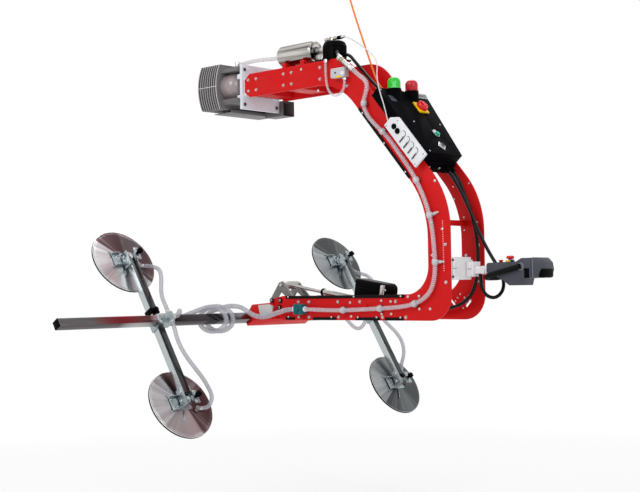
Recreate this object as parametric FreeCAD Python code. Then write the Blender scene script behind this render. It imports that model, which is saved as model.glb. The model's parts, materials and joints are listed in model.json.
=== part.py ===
import FreeCAD, Part
import math
import os

# Glass panel lifter: a C-shaped frame hung from an eye, with a tilting head that carries four suction discs.
# Millimetres. Origin at the centre of the lifting eye, +X towards the back of the C, +Z up.

# C frame
plate_t = 8.0              # side plate thickness
plate_gap = 236.0          # clear space between the two side plates
arm_depth = 118.0          # height of the upper and lower arm
back_width = 125.0         # width of the upright back
diagonal_width = 113.0     # width of the slanted stretch
diagonal_angle = 49.0      # slope of the slanted stretch below the horizontal
throat_height = 1011.0     # clear height between the arms
eye_above_arm = 75.0       # eye centre above the upper arm
back_inner_x = 834.0       # inner edge of the back
diagonal_start_x = 307.0   # inner corner where the slope leaves the upper arm
upper_reach = 349.0        # upper arm past the eye
lower_reach = 190.0        # lower arm past the eye
top_corner_r = 175.0
back_outer_r = 400.0
back_bend_room = 596.0     # of the throat's height, not open to the back's inner bend
back_inner_r = throat_height - back_bend_room
heel_outer_r = 114.0
heel_inner_r = 130.0
throat_corner_r = 315.0
end_chamfer = (38.0, 26.0)     # upper arm end, along X and along Z
nose_r = 26.0                  # rounded nose of the lower arm
nose_slope = 100.0             # length of the slanted top of the nose
spacer_r = 13.0
bolt_r = 6.0
bolt_head_r = 10.0
bolt_head_h = 7.0
bore_clear = 0.05              # radial play of a bolt or pin in its bore
strip_t = 5.0                  # black protective edge strips
strip_w = 14.0

# Lifting lug
lug_t = 20.0
lug_r = 42.0
eye_r = 20.0
lug_block = (-92.0, 14.0)      # block between the plates, along X
lug_bolt_x = (-67.0, -11.0)
arm_bolt_inset = 31.0          # bolt rows in from the arm edges

# Vacuum pump at the end of the upper arm
flange_x = -363.0
flange_t = 14.0
flange_half = 134.0
flange_top = 55.0              # above the upper arm's top edge
flange_bottom = 55.0           # below the upper arm's bottom edge
pump_length = 272.0            # from the flange to the last fin
pump_near = 166.0
pump_far = 191.0
pump_bulge = 26.0              # casing's sides past its top and bottom
pump_top = 68.0                # above the upper arm's top edge
pump_bottom = 44.0             # below the upper arm's bottom edge
fin_count = 9
fin_t = 6.0
fin_pitch = 17.0
fin_depth = 22.0
barrel_r = 104.0
bell_r = 60.0                  # rounding of the barrel towards the flange
tray_t = 4.0
tray_depth = 26.0
tray_gap = 20.0                # between the last fin and the tray's box
tray_far = 213.0

# Tank, filter and valves on the upper arm
tank_r = 52.0
tank_length = 230.0
tank_y = -76.0
tank_lift = 13.0               # tank above the arm's top edge
tank_wall = 2.5
saddle_t = 9.0                 # how far a saddle wraps the tank
saddle_w = 24.0
filter_r = 56.0
filter_x = 218.0
filter_y = -56.0
filter_h = 92.0
crown_reach = 66.0             # pipe on the filter's top, out to the sensor lead
check_ends = ((336.0, -85.0), (417.0, -150.0))   # check valve's ends: x, z
filter_dome = 22.0
tank_gap = 48.0                # between the tank's end and the filter
inlet_x = -440.0               # pump's air inlet
valve_size = (82.0, 36.0, 45.0)
valve_x = 290.0
loop_x = (360.0, 239.0)        # small hose loop, from the valve block to the filter
valve_drop = 55.0              # valve block's top below the arm's top edge

# Control box on the slope
box_start = 278.0              # distance along the slope from the arm's top corner
box_length = 426.0
box_half = 155.0               # near side
box_far = (190.0, 108.0)       # far side, at the upper and at the lower end
box_rise = 52.0                # face above the plates' outer edge
box_seat = 1.0
box_sink = 58.0                # inner housing between the plates
box_inner_half = 108.0
box_inset = 6.0                # inner housing past the box's lower end
lid_t = 4.0
beacon_r = 30.0
beacon_h = 53.0
beacon_base_h = 24.0
switch_plate_side = 66.0
knob_r = 24.0
knob_h = 26.0
button_r = 11.0
button_h = 9.0
button_travel = 4.0
bezel_r = 15.0
bezel_h = 6.0
control_clear = 0.3            # play of a button or knob in its bezel
panel_size = (273.0, 83.0, 13.0)
panel_start = 446.0            # socket panel along the slope
panel_chamfer = 34.0
end_gap = 0.3                  # hose or cable end to the face it meets

# Handset on the back
bracket_z = -1091.0
bracket_size = (62.0, 120.0, 100.0)
bracket_lap = 46.0             # bracket's overlap with the frame's back
neck_length = 40.0
bar_length = 87.0              # bar between the bracket's neck and the handset
handset_length = 275.0
handset_width = 112.0
handset_deck = 21.0            # button deck above the bracket's centre
handset_back = 37.0            # raised rear above the bracket's centre
loop_tube_r = 12.0
loop_reach = 200.0
estop_r = 17.0

# Tilting head
pivot_x = -157.0
pivot_z = -1261.0
beam_x = -326.0
beam_z = -1312.0
head_tilt = 32.0               # the discs face away from the C and this far below the level
beam_size = 40.0
beam_wall = 3.0
beam_half = 1297.0
cap_t = 6.0
shaft_r = 14.0
lever_t = 8.0
lever_y = 52.0                 # inner face of a tilt lever
apex_x = -172.0
apex_z = -1150.0
rod_pin_r = 8.0
cheek_t = 8.0
cheek_clear = 11.0             # cheek to side plate, past the bolt heads
arm_link_t = 6.0               # zinc plate over each cheek
cradle_wall = 6.0
cradle_far = 270.0
cradle_rise = (26.0, 36.0)     # channel behind and in front of the beam's axis

# Tilt actuator
actuator_slope = 9.2           # below the level, towards the back
actuator_length = 640.0        # rod pin to rear pin at rest
rod_r = 9.0
rod_visible = 236.0
tube_r = 16.0
rear_pin_r = 8.0
rear_window = (14.0, 22.0)     # half size of the window that the rear pin floats in
motor_length = 157.0           # hood ahead of the rear pin
motor_tail = 44.0              # and past it
motor_half = 44.0
motor_rise = 104.0             # hood above the actuator's axis
motor_drop = 26.0
motor_arch = 30.0              # hood's underside over the rear pin
fork_clear = 0.3

# Cross arms and suction discs
near_cross_y = -699.0
far_cross_y = 830.0
disc_offset = 105.0            # rim plane from the beam's axis
disc_reach = 400.0             # disc centre from the beam's axis
cross_end_gap = 25.0
clamp_t = 5.0
clamp_half = 40.0
slide_clear = 0.1
disc_r = 168.0
seal_r = 175.0
seal_inner_r = 140.0
seal_h = 7.0
disc_t = 3.0
disc_rise = 18.0
hub_r = 19.5
hub_h = 40.0
pad_pin_r = 5.0
pad_pin_drop = 58.0            # hinge pin of a disc below the beam's axis
bracket_t = 6.0
knob_side = 36.0               # disc knob to the side of the cross arm
fitting_y = 62.0
fitting_r = 11.0
fitting_rise = 24.0
fitting_drop = 40.0            # near discs: fitting down from the disc's centre
tee_y = 19.0                   # hose tee to the side of the cross arm
tee_rise = 13.0

# Hoses and cables
hose_r = 10.0
cable_r = 8.0
wire_r = 2.5
supply_r = 4.5
feed_r = 12.0                  # hose from the lower arm to the beam
coil_r = 61.0
coil_angles = [-60] + list(range(0, 721, 90))    # loops round the beam from the top
coil_draw = (2.5, 1.6)         # how steeply the first and last loop run along the beam
coil_lead = (26.0, 22.0)       # and how far they are drawn out
coil_pitch = 45.0
coil_lean = 45.0               # loops drawn out along the beam on their far side
coil_y = -412.0
clip_w = 16.0
clip_clear = 0.6

V = FreeCAD.Vector
plate_in = plate_gap / 2
plate_out = plate_in + plate_t
top_z = -eye_above_arm
upper_z = top_z - arm_depth
lower_top = upper_z - throat_height
lower_z = lower_top - arm_depth
back_outer_x = back_inner_x + back_width
tank_x = filter_x - filter_r - tank_gap - tank_length
neck_end = back_outer_x - bracket_lap + bracket_size[0] + neck_length
handset_nose = neck_end + bar_length
slope = math.radians(diagonal_angle)
slope_dir = V(math.cos(slope), 0, -math.sin(slope))
slope_out = V(math.sin(slope), 0, math.cos(slope))


def box(x0, x1, y0, y1, z0, z1):
    return Part.makeBox(x1 - x0, y1 - y0, z1 - z0, V(x0, y0, z0))


def rod(start, end, r):
    run = end - start
    return Part.makeCylinder(r, run.Length, start, run)


def across(x, z, r, y0, y1):
    return Part.makeCylinder(r, y1 - y0, V(x, y0, z), V(0, 1, 0))


def ring(x, z, r_out, r_in, y0, y1):
    return across(x, z, r_out, y0, y1).cut(across(x, z, r_in, y0, y1))


def profile(points, y0, y1):
    # closed outline of (x, z) points, straight between them, extruded along Y
    corners = [V(x, y0, z) for x, z in points]
    face = Part.Face(Part.makePolygon(corners + corners[:1]))
    return face.extrude(V(0, y1 - y0, 0))


def group(shapes):
    return Part.makeCompound(shapes)


def turned(shape, points, axis, angle):
    copy = shape.copy()
    copy.rotate(points, axis, angle)
    return copy


def outline_wire(corners, y):
    # corners are (x, z, radius); a radius of 0 keeps the corner sharp
    count = len(corners)
    edges = []
    last = None
    first = None
    for i, (x, z, r) in enumerate(corners):
        here = V(x, y, z)
        before = V(corners[i - 1][0], y, corners[i - 1][1])
        after = V(corners[(i + 1) % count][0], y, corners[(i + 1) % count][1])
        start, mid, end = rounded(before, here, after, r)
        if last is not None and (start - last).Length > 1e-6:
            edges.append(Part.LineSegment(last, start).toShape())
        if mid is not None:
            edges.append(Part.Arc(start, mid, end).toShape())
        first = first or start
        last = end
    edges.append(Part.LineSegment(last, first).toShape())
    return Part.Wire(edges)


def rounded(before, here, after, r):
    if r == 0:
        return here, None, here
    back = (before - here).normalize()
    on = (after - here).normalize()
    half = back.getAngle(on) / 2
    reach = r / math.tan(half)
    start = here + back * reach
    end = here + on * reach
    centre = here + (back + on).normalize() * (r / math.sin(half))
    mid = centre + (here - centre).normalize() * r
    return start, mid, end


def cord(name, points, r):
    # tube along straight runs joined by arcs as large as the runs allow
    points = [V(*p) for p in points]
    edges = []
    last = points[0]
    tightest = None
    for before, here, after in zip(points, points[1:], points[2:]):
        back = (before - here)
        on = (after - here)
        turn = math.pi - back.getAngle(on)
        radius = 0.45 * min(back.Length, on.Length) / math.tan(turn / 2)
        start, mid, end = rounded(before, here, after, radius)
        edges.append(Part.LineSegment(last, start).toShape())
        edges.append(Part.Arc(start, mid, end).toShape())
        last = end
        tightest = radius if tightest is None else min(tightest, radius)
    edges.append(Part.LineSegment(last, points[-1]).toShape())
    return pipe(name, edges, r, tightest)


def pipe(name, edges, r, tightest):
    wire = Part.Wire(edges)
    start = edges[0].valueAt(edges[0].FirstParameter)
    along = edges[0].tangentAt(edges[0].FirstParameter)
    section = Part.Wire([Part.makeCircle(r, start, along)])
    tube = wire.makePipeShell([section], True, False)
    share = tube.Volume / (math.pi * r * r * wire.Length)
    print("%s: length %.0f, tightest radius %.0f, volume share %.4f" % (name, wire.Length, tightest, share))
    return tube


def biarc(p0, t0, p1, t1):
    # two tangent arcs from p0 heading t0 to p1 heading t1
    v = p1 - p0
    t = t0 + t1
    k = 2 * (1 - t0.dot(t1))
    d = (-v.dot(t) + math.sqrt(v.dot(t) ** 2 + k * v.dot(v))) / k
    knee0 = p0 + t0 * d
    knee1 = p1 - t1 * d
    joint = (knee0 + knee1) * 0.5
    return [arc_to(p0, knee0, joint), arc_to(joint, knee1, p1)]


def arc_to(start, knee, end):
    middle = (start + end) * 0.5
    half = (end - start).Length / 2
    lean = (knee - start).getAngle(end - start)
    mid = middle + (knee - middle).normalize() * half * math.tan(lean / 2)
    return Part.Arc(start, mid, end).toShape()


def on_slope(along, out, y):
    # along the slope from the arm's outer top corner, out from the plates' outer edge
    p = slope_corner + slope_dir * along + slope_out * out
    return V(p.x, y, p.z)


def slope_block(a0, a1, o0, o1, y0, y1):
    corners = [on_slope(a0, o0, y0), on_slope(a1, o0, y0), on_slope(a1, o1, y0), on_slope(a0, o1, y0)]
    return Part.Face(Part.makePolygon(corners + corners[:1])).extrude(V(0, y1 - y0, 0))


def to_head(shape):
    # head pieces are drawn upright round the beam's axis: X is the discs' back, Z runs up the cross arms
    copy = shape.copy()
    copy.rotate(V(0, 0, 0), V(0, 1, 0), -head_tilt)
    copy.translate(V(beam_x, 0, beam_z))
    return copy


def head_point(n, y, c):
    t = math.radians(head_tilt)
    return (beam_x + n * math.cos(t) - c * math.sin(t), y, beam_z + n * math.sin(t) + c * math.cos(t))


# Where the slope's outer edge would meet the upper arm's top edge
slope_corner = V(diagonal_start_x, 0, upper_z) + slope_out * diagonal_width
slope_corner = slope_corner - slope_dir * ((top_z - slope_corner.z) / math.sin(slope))
slope_foot_z = slope_corner.z - (back_outer_x - slope_corner.x) * math.tan(slope)
inner_foot_z = upper_z - (back_inner_x - diagonal_start_x) * math.tan(slope)

frame_corners = [
    (-upper_reach + end_chamfer[0], top_z, 0),
    (slope_corner.x, top_z, top_corner_r),
    (back_outer_x, slope_foot_z, back_outer_r),
    (back_outer_x, lower_z, heel_outer_r),
    (-lower_reach + nose_slope, lower_z, 0),
    (-lower_reach, lower_top - arm_depth / 2, nose_r),
    (-lower_reach + nose_r, lower_top - nose_r / 2, nose_r / 2),
    (-lower_reach + nose_slope, lower_top, 0),
    (back_inner_x, lower_top, heel_inner_r),
    (back_inner_x, inner_foot_z, back_inner_r),
    (diagonal_start_x, upper_z, throat_corner_r),
    (-upper_reach + end_chamfer[0], upper_z, 0),
    (-upper_reach, upper_z + end_chamfer[1], 0),
    (-upper_reach, top_z - end_chamfer[1], 0),
]

upper_bolt_z = (top_z - arm_bolt_inset, upper_z + arm_bolt_inset)
lower_bolt_z = (lower_top - arm_bolt_inset, lower_z + arm_bolt_inset / 2)
back_bolt_x = (back_inner_x + 26, back_outer_x - 26)
lug_bolts = [(x, z) for x in lug_bolt_x for z in upper_bolt_z]
end_bolts = [(x, z) for x in (-321, -264) for z in upper_bolt_z]
spacer_bolts = [(184, z) for z in upper_bolt_z]
spacer_bolts += [(x, lower_bolt_z[1]) for x in (18, 88, 284, 560, 700)]
spacer_bolts += [(back_bolt_x[0], -883)]
spacer_bolts += [(on_slope(a, -o, 0).x, on_slope(a, -o, 0).z) for a, o in ((110, 88),)]
short_bolts = [(x, lower_bolt_z[0]) for x in (16, 88, 280, 420, 640)]
short_bolts += [(back_bolt_x[0], -1030), (back_bolt_x[1], -985), (back_bolt_x[1], -1152)]
through_bolts = lug_bolts + end_bolts + spacer_bolts
washer_points = [(-168, -1226), (-108, -1226), (-114, -1261)]


def side_plate(y0, slots=()):
    plate = Part.Face(outline_wire(frame_corners, y0)).extrude(V(0, plate_t, 0))
    holes = [across(x, z, bolt_r + bore_clear, y0, y0 + plate_t) for x, z in through_bolts + short_bolts]
    holes.append(across(pivot_x, pivot_z, shaft_r + bore_clear, y0, y0 + plate_t))
    x, z = rear_pin_at()
    holes.append(across(x, z, rear_pin_r + bore_clear, y0, y0 + plate_t))
    for x, lean in slots:
        slot = box(x, x + 13, y0, y0 + plate_t, lower_z + 52, lower_z + 96)
        holes.append(turned(slot, V(x + 6, y0, lower_z + 74), V(0, 1, 0), lean))
    return plate.cut(group(holes))


def rear_pin_at():
    a = math.radians(actuator_slope)
    return apex_x + actuator_length * math.cos(a), apex_z - actuator_length * math.sin(a)


def frame_spacers():
    tubes = [ring(x, z, spacer_r, bolt_r + bore_clear, -plate_in, plate_in) for x, z in spacer_bolts]
    end_x = [x for x, z in end_bolts]
    block = box(min(end_x) - 22, max(end_x) + 22, -plate_in, plate_in, upper_z + 12, top_z - 12)
    for x, z in end_bolts:
        block = block.cut(across(x, z, bolt_r + bore_clear, -plate_in, plate_in))
    x, z = rear_pin_at()
    pin = across(x, z, rear_pin_r, -plate_out - 6, plate_out + 6)
    return group(tubes + [block, pin])


def frame_bolts():
    bolts = []
    for x, z in through_bolts:
        shank = across(x, z, bolt_r, -plate_out, plate_out)
        heads = [across(x, z, bolt_head_r, -plate_out - bolt_head_h, -plate_out),
                 across(x, z, bolt_head_r, plate_out, plate_out + bolt_head_h)]
        bolts.append(shank.fuse(heads).removeSplitter())
    for x, z in short_bolts:
        for side in (-1, 1):
            y = [side * v for v in (plate_in - bolt_head_h, plate_in, plate_out, plate_out + bolt_head_h)]
            shank = across(x, z, bolt_r, min(y), max(y))
            nut = across(x, z, bolt_head_r, min(y[0], y[1]), max(y[0], y[1]))
            head = across(x, z, bolt_head_r, min(y[2], y[3]), max(y[2], y[3]))
            bolts.append(shank.fuse([nut, head]).removeSplitter())
    return group(bolts)


def edge_strips():
    strips = []
    inner = V(diagonal_start_x, 0, upper_z)
    for y0 in (-plate_out - strip_t, plate_out):
        a = inner + slope_dir * 188
        b = inner + slope_dir * 646
        lift = slope_out * strip_w
        corners = [V(p.x, y0, p.z) for p in (a, b, b + lift, a + lift)]
        strips.append(Part.Face(Part.makePolygon(corners + corners[:1])).extrude(V(0, strip_t, 0)))
        strips.append(box(-70, 692, y0, y0 + strip_t, lower_top - strip_w, lower_top))
        strips.append(box(-70, -10, y0, y0 + strip_t, lower_z, lower_z + strip_w))
        strips.append(box(116, 268, y0, y0 + strip_t, lower_z, lower_z + strip_w))
        strips.append(box(394, 544, y0, y0 + strip_t, lower_z, lower_z + strip_w))
        strips.append(box(576, 684, y0, y0 + strip_t, lower_z, lower_z + strip_w))
    return group(strips)


def lifting_lug():
    block = box(lug_block[0], lug_block[1], -plate_in, plate_in, upper_z + 10, top_z - 10)
    for x, z in lug_bolts:
        block = block.cut(across(x, z, bolt_r + bore_clear, -plate_in, plate_in))
    web = box(-lug_r, lug_block[1], -lug_t / 2, lug_t / 2, top_z - 10, 0)
    web = web.fuse(box(-lug_r, lug_r, -lug_t / 2, lug_t / 2, top_z + 6, 0))
    lug = block.fuse([web, across(0, 0, lug_r, -lug_t / 2, lug_t / 2)]).removeSplitter()
    return lug.cut(across(0, 0, eye_r, -lug_t / 2, lug_t / 2))


def casing(x0, x1, grow):
    # section of the pump in the YZ plane, from x0 to x1: flat top and bottom, bulging sides
    y0, y1 = -pump_near - grow, pump_far + grow
    z0, z1 = upper_z - pump_bottom - grow, top_z + pump_top + grow
    mid = (z0 + z1) / 2
    near = Part.Arc(V(x0, y0, z0), V(x0, y0 - pump_bulge, mid), V(x0, y0, z1)).toShape()
    top = Part.LineSegment(V(x0, y0, z1), V(x0, y1, z1)).toShape()
    far = Part.Arc(V(x0, y1, z1), V(x0, y1 + pump_bulge, mid), V(x0, y1, z0)).toShape()
    bottom = Part.LineSegment(V(x0, y1, z0), V(x0, y0, z0)).toShape()
    return Part.Face(Part.Wire([near, top, far, bottom])).extrude(V(x1 - x0, 0, 0))


def pump_flange():
    plate = box(flange_x - flange_t, flange_x, -flange_half, flange_half,
                upper_z - flange_bottom, top_z + flange_top)
    ties = []
    for y in (-plate_in + 14, plate_in - 14):
        reach = min(x for x, z in end_bolts) - 22
        ties.append(box(flange_x, reach, y - 14, y + 14, upper_z + 14, top_z - 14))
    return plate.fuse(ties).removeSplitter()


def last_fin():
    return flange_x - pump_length + fin_pitch * (fin_count - 1) + fin_t


def pump_housing():
    end = flange_x - pump_length
    fins_end = last_fin()
    core = casing(end, fins_end, -fin_depth)
    fins = [casing(end + i * fin_pitch, end + i * fin_pitch + fin_t, 0) for i in range(fin_count)]
    mid_y = (pump_far - pump_near) / 2
    mid_z = (upper_z - pump_bottom + top_z + pump_top) / 2
    barrel = Part.makeCylinder(barrel_r, flange_x - flange_t - fins_end,
                               V(fins_end, mid_y, mid_z), V(1, 0, 0))
    rim = [e for e in barrel.Edges if isinstance(e.Curve, Part.Circle) and e.Curve.Center.x > fins_end + 1]
    barrel = barrel.makeFillet(bell_r, rim)
    bands = [casing(fins_end, flange_x - flange_t, -fin_depth).common(
             box(fins_end, flange_x - flange_t, -pump_near, pump_far, z - 16, z + 16))
             for z in (upper_z - pump_bottom + fin_depth + 8, top_z + pump_top - fin_depth - 8)]
    return core.fuse(fins + [barrel] + bands).removeSplitter()


def pump_tray():
    x0, x1 = last_fin() + tray_gap, flange_x + 30
    y0, y1 = flange_half + 1, tray_far
    z0 = upper_z - pump_bottom - tray_depth
    outer = box(x0, x1, y0, y1, z0, z0 + 78)
    hollow = box(x0 + tray_t, x1, y0 + tray_t, y1 - tray_t, z0 + tray_t, z0 + 78 - tray_t)
    floor = box(flange_x - pump_length + 30, x0, 60 - pump_near, y1, z0 + 10, z0 + 10 + tray_t)
    riser = box(x0 - tray_t, x0, 60 - pump_near, y1, z0 + 10, upper_z - pump_bottom)
    room = casing(x0 - 200, flange_x - flange_t, bore_clear - fin_depth)
    return outer.cut(hollow).cut(room).fuse([floor, riser]).removeSplitter()


def vacuum_tank():
    z = top_z + tank_lift + tank_r
    shell = Part.makeCylinder(tank_r, tank_length, V(tank_x, tank_y, z), V(1, 0, 0))
    shell = shell.makeFillet(10, [e for e in shell.Edges if isinstance(e.Curve, Part.Circle)])
    inside = Part.makeCylinder(tank_r - tank_wall, tank_length - 2 * tank_wall,
                               V(tank_x + tank_wall, tank_y, z), V(1, 0, 0))
    inside = inside.makeFillet(8, [e for e in inside.Edges if isinstance(e.Curve, Part.Circle)])
    return shell.cut(inside)


def tank_saddles():
    z = top_z + tank_lift + tank_r
    saddles = []
    for x in (tank_x + 40, tank_x + tank_length - 40 - saddle_w):
        foot = box(x, x + saddle_w, -plate_out, tank_y + tank_r / 2, top_z, z - tank_r + saddle_t)
        bore = Part.makeCylinder(tank_r + bore_clear, saddle_w, V(x, tank_y, z), V(1, 0, 0))
        saddles.append(foot.cut(bore))
    return group(saddles)


def filter_housing():
    base = box(filter_x - filter_r - 12, filter_x + filter_r, -plate_out, filter_y + filter_r,
               top_z, top_z + 8)
    ledge = box(loop_x[1] - 12, loop_x[1] + 12, hose_run_y() - 10, -plate_out, top_z, top_z + 8)
    body = Part.makeCylinder(filter_r, filter_h, V(filter_x, filter_y, top_z + 8), V(0, 0, 1))
    rims = [e for e in body.Edges if isinstance(e.Curve, Part.Circle) and e.Curve.Center.z > top_z + 50]
    return base.fuse([ledge, body.makeFillet(filter_dome, rims)]).removeSplitter()


def valve_block():
    x0, z1 = valve_x, top_z - valve_drop
    length, depth, height = valve_size
    y1 = -plate_out
    block = box(x0, x0 + length, y1 - depth, y1, z1 - height, z1)
    nipple = rod(V(loop_x[0], y1 - depth / 2, z1 - height), V(loop_x[0], y1 - depth / 2, z1 - height - 14), 7)
    return block.fuse(nipple).removeSplitter()


def check_valve():
    # from the filter over the plate's edge, then down to the long hose
    a, b = check_points()
    link = rod(V(filter_x + 37, filter_y - 28, top_z + 45), a, 8)
    drum = Part.makeCylinder(filter_r, filter_h, V(filter_x, filter_y, top_z + 8))
    return link.fuse(rod(a, b, 11)).cut(drum)


def check_points():
    (x0, z0), (x1, z1) = check_ends
    return V(x0, hose_run_y(), z0), V(x1, hose_run_y(), z1)


def air_fittings():
    z = top_z + tank_lift + tank_r
    left = rod(V(tank_x, tank_y, z), V(tank_x - 26, tank_y, z), 12)
    right = rod(V(tank_x + tank_length, tank_y, z), V(filter_x - filter_r + 4, tank_y, z), 10)
    right = right.cut(Part.makeCylinder(filter_r, filter_h, V(filter_x, filter_y, top_z + 8), V(0, 0, 1)))
    top = top_z + 8 + filter_h
    crown = rod(V(filter_x - 14, filter_y, top), V(filter_x - 14, filter_y, top + 16), 10)
    pipe = rod(V(filter_x - 56, filter_y, top + 14), V(filter_x + crown_reach, filter_y, top + 14), 7)
    crown = crown.fuse(pipe)
    y = hose_run_y()
    z = lower_z + 53
    teal = box(12, 74, y - hose_r - 6, -plate_out, z - 23, z + 23)
    teal = teal.cut(rod(V(12, y, z), V(74, y, z), hose_r))
    inlet = rod(V(inlet_x, tank_y - 14, top_z + pump_top - fin_depth),
                V(inlet_x, tank_y - 14, top_z + 82), 12)
    return group([left, right, crown, check_valve(), valve_block(), teal, inlet])


def hose_run_y():
    return -plate_out - bolt_head_h - hose_r - 1


valve_end = check_points()[1]
valve_way = (check_points()[1] - check_points()[0]).normalize()
main_route = [tuple(valve_end + valve_way * end_gap), tuple(valve_end + valve_way * 48)]
main_route += [(x, hose_run_y(), z) for x, z in (
    (489, -203), (503, -229), (495, -262), (480, -294), (479, -332), (508, -381), (561, -430), (622, -480),
    (688, -560), (763, -652), (810, -731), (846, -806), (873, -898), (886, -1015), (888, -1108), (866, -1186),
    (806, -1234), (722, -1256), (615, -1264), (500, -1269), (385, -1273), (270, -1275), (165, -1272),
    (74, -1269))]


def hose_clips():
    spots = [(5, 6), (8, 9), (11, 12), (13, 14), (15, 16), (18, 19), (20, 21), (22, 23)]
    clips = []
    for a, b in spots:
        p, q = V(*main_route[a]), V(*main_route[b])
        mid = (p + q) * 0.5
        along = (q - p).normalize()
        sleeve = rod(mid - along * clip_w / 2, mid + along * clip_w / 2, hose_r + 3)
        foot = box(-16, 16, mid.y, -plate_out, -clip_w / 2, clip_w / 2)
        foot.rotate(V(0, 0, 0), V(0, 1, 0), math.degrees(math.atan2(along.x, along.z)))
        foot.translate(V(mid.x, 0, mid.z))
        bore = rod(mid - along * clip_w, mid + along * clip_w, hose_r + clip_clear)
        clips.append(sleeve.fuse(foot).cut(bore))
    return group(clips)


def pump_hoses():
    z = top_z + tank_lift + tank_r
    y = tank_y
    over = cord("pump hose", [(tank_x - 26 - end_gap, y, z), (tank_x - 77, y, z), (tank_x - 134, y - 6, z + 6),
                              (inlet_x + 100, y - 12, z + 6), (inlet_x + 48, y - 14, z),
                              (inlet_x + 12 + end_gap, y - 14, z)], hose_r)
    by = -plate_out - valve_size[1] / 2
    x0, x1 = loop_x
    bottom = top_z - valve_drop - valve_size[2] - 14 - end_gap
    loop = cord("filter loop", [(x0, by, bottom), (x0, by, bottom - 18), (x0 - 6, by, bottom - 42),
                                (x0 - 26, by, bottom - 62), (x0 - 58, by, bottom - 70), (x1 + 31, by, bottom - 56),
                                (x1 + 9, by, bottom - 24), (x1 + 1, by, bottom + 24), (x1, by - 1, bottom + 76),
                                (x1, by, top_z - end_gap)], 6.0)
    return group([over, loop])


def slope_plate(grow, o0, o1):
    # the box's tapered outline, grown or shrunk, between two heights over the slope
    a0, a1 = box_start - grow, box_start + box_length + grow
    points = [(a0, -box_half - grow), (a1, -box_half - grow),
              (a1, box_far[1] + grow), (a0, box_far[0] + grow)]
    corners = [on_slope(a, o0, y) for a, y in points]
    return Part.Face(Part.makePolygon(corners + corners[:1])).extrude(slope_out * (o1 - o0))


def control_box():
    a0, a1 = box_start, box_start + box_length
    outer = slope_plate(0, box_seat, box_rise - lid_t)
    inner = slope_block(a0 + 46, a1 + box_inset, -box_sink, box_seat, -box_inner_half, box_inner_half)
    wall = 3.0
    hollow = slope_plate(-wall, box_seat + wall, box_rise - lid_t)
    return outer.fuse(inner).removeSplitter().cut(hollow)


def control_lid():
    a0, a1 = box_start, box_start + box_length
    lid = slope_plate(0, box_rise - lid_t, box_rise)
    for along, y, r in control_stems():
        lid = lid.cut(stem_bore(along, y, r))
    bases = []
    for y in beacon_ys():
        foot = on_slope(box_start + 30, box_rise, y)
        base = Part.makeCylinder(beacon_r + 3, beacon_base_h + 60, V(foot.x, y, foot.z - 60), V(0, 0, 1))
        bases.append(base.cut(slope_block(a0 - 80, a1, -60, box_rise, -box_half, box_far[0])))
    return lid.fuse(bases).removeSplitter()


def beacon_ys():
    return (-60.0, 66.0)


def control_stems():
    # distance along the slope, y and bore radius of each control on the lid
    return [(box_start + 114, 62.0, 6.0), (box_start + 298, 27.0, 8.0), (box_start + 372, 4.0, 8.0)]


def stem_bore(along, y, r):
    foot = on_slope(along, box_rise - lid_t - 1, y)
    return Part.makeCylinder(r, lid_t + 2, foot, slope_out)


def beacon(y):
    foot = on_slope(box_start + 30, box_rise, y)
    base = V(foot.x, y, foot.z + beacon_base_h)
    dome = Part.makeCylinder(beacon_r, beacon_h, base, V(0, 0, 1))
    rims = [e for e in dome.Edges if isinstance(e.Curve, Part.Circle) and e.Curve.Center.z > base.z + 1]
    return dome.makeFillet(beacon_r * 0.8, rims)


def slope_disc(along, y, out0, out1, r):
    return Part.makeCylinder(r, out1 - out0, on_slope(along, out0, y), slope_out)


def panel_bezels():
    (sw, sy, sr), (st, ty, tr), (ke, ky, kr) = control_stems()
    half = switch_plate_side / 2
    plate = slope_block(sw - half, sw + half, box_rise, box_rise + 8, sy - half, sy + half)
    plate = plate.cut(slope_disc(sw, sy, box_rise, box_rise + 8, sr))
    rings = []
    for along, y in ((st, ty), (ke, ky)):
        collar = slope_disc(along, y, box_rise, box_rise + bezel_h, bezel_r)
        rings.append(collar.cut(slope_disc(along, y, box_rise, box_rise + bezel_h, button_r + control_clear)))
    blank = slope_block(box_start + 4, box_start + 36, box_rise, box_rise + 2, 112, 178)
    return group([plate, blank, estop_collar()] + rings)


def main_switch_knob():
    sw, sy, sr = control_stems()[0]
    dial = slope_disc(sw, sy, box_rise + 8 + control_clear, box_rise + 18, knob_r)
    grip = slope_block(sw - knob_r + 3, sw + knob_r - 3, box_rise + 18, box_rise + 8 + knob_h, sy - 7, sy + 7)
    stem = slope_disc(sw, sy, box_rise - lid_t - 10, box_rise + 18, sr - bore_clear)
    return dial.fuse([grip, stem]).removeSplitter()


def lid_button(index):
    along, y, r = control_stems()[index]
    cap = slope_disc(along, y, box_rise + button_travel + 1, box_rise + bezel_h + button_h, button_r)
    stem = slope_disc(along, y, box_rise - lid_t - 8, box_rise + button_travel + 2, r - bore_clear)
    return cap.fuse(stem).removeSplitter()


def key_switch():
    along, y, r = control_stems()[2]
    drum = slope_disc(along, y, box_rise + control_clear, box_rise + bezel_h + 2, button_r)
    stem = slope_disc(along, y, box_rise - lid_t - 8, box_rise + bezel_h, r - bore_clear)
    bow = slope_block(along - 12, along + 12, box_rise + bezel_h + 2, box_rise + bezel_h + 26,
                      y - 1.5, y + 1.5)
    return drum.fuse([stem, bow]).removeSplitter()


junction = (536.0, 92.0, -1280.0)     # small box that the drive cable ends in, inside the rear plate


def gland_points():
    a = box_start + box_length + box_inset
    return [on_slope(a, -22, y) for y in (48.0, 84.0)]


def cable_glands():
    glands = []
    for p in gland_points():
        end = p + slope_dir * 28
        glands.append(rod(p, end, cable_r + 5).cut(rod(p, end, cable_r)))
    x, y, z = junction
    glands.append(box(x - 62, x, y - 14, plate_in, z - 22, z + 22))
    return group(glands)


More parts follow.
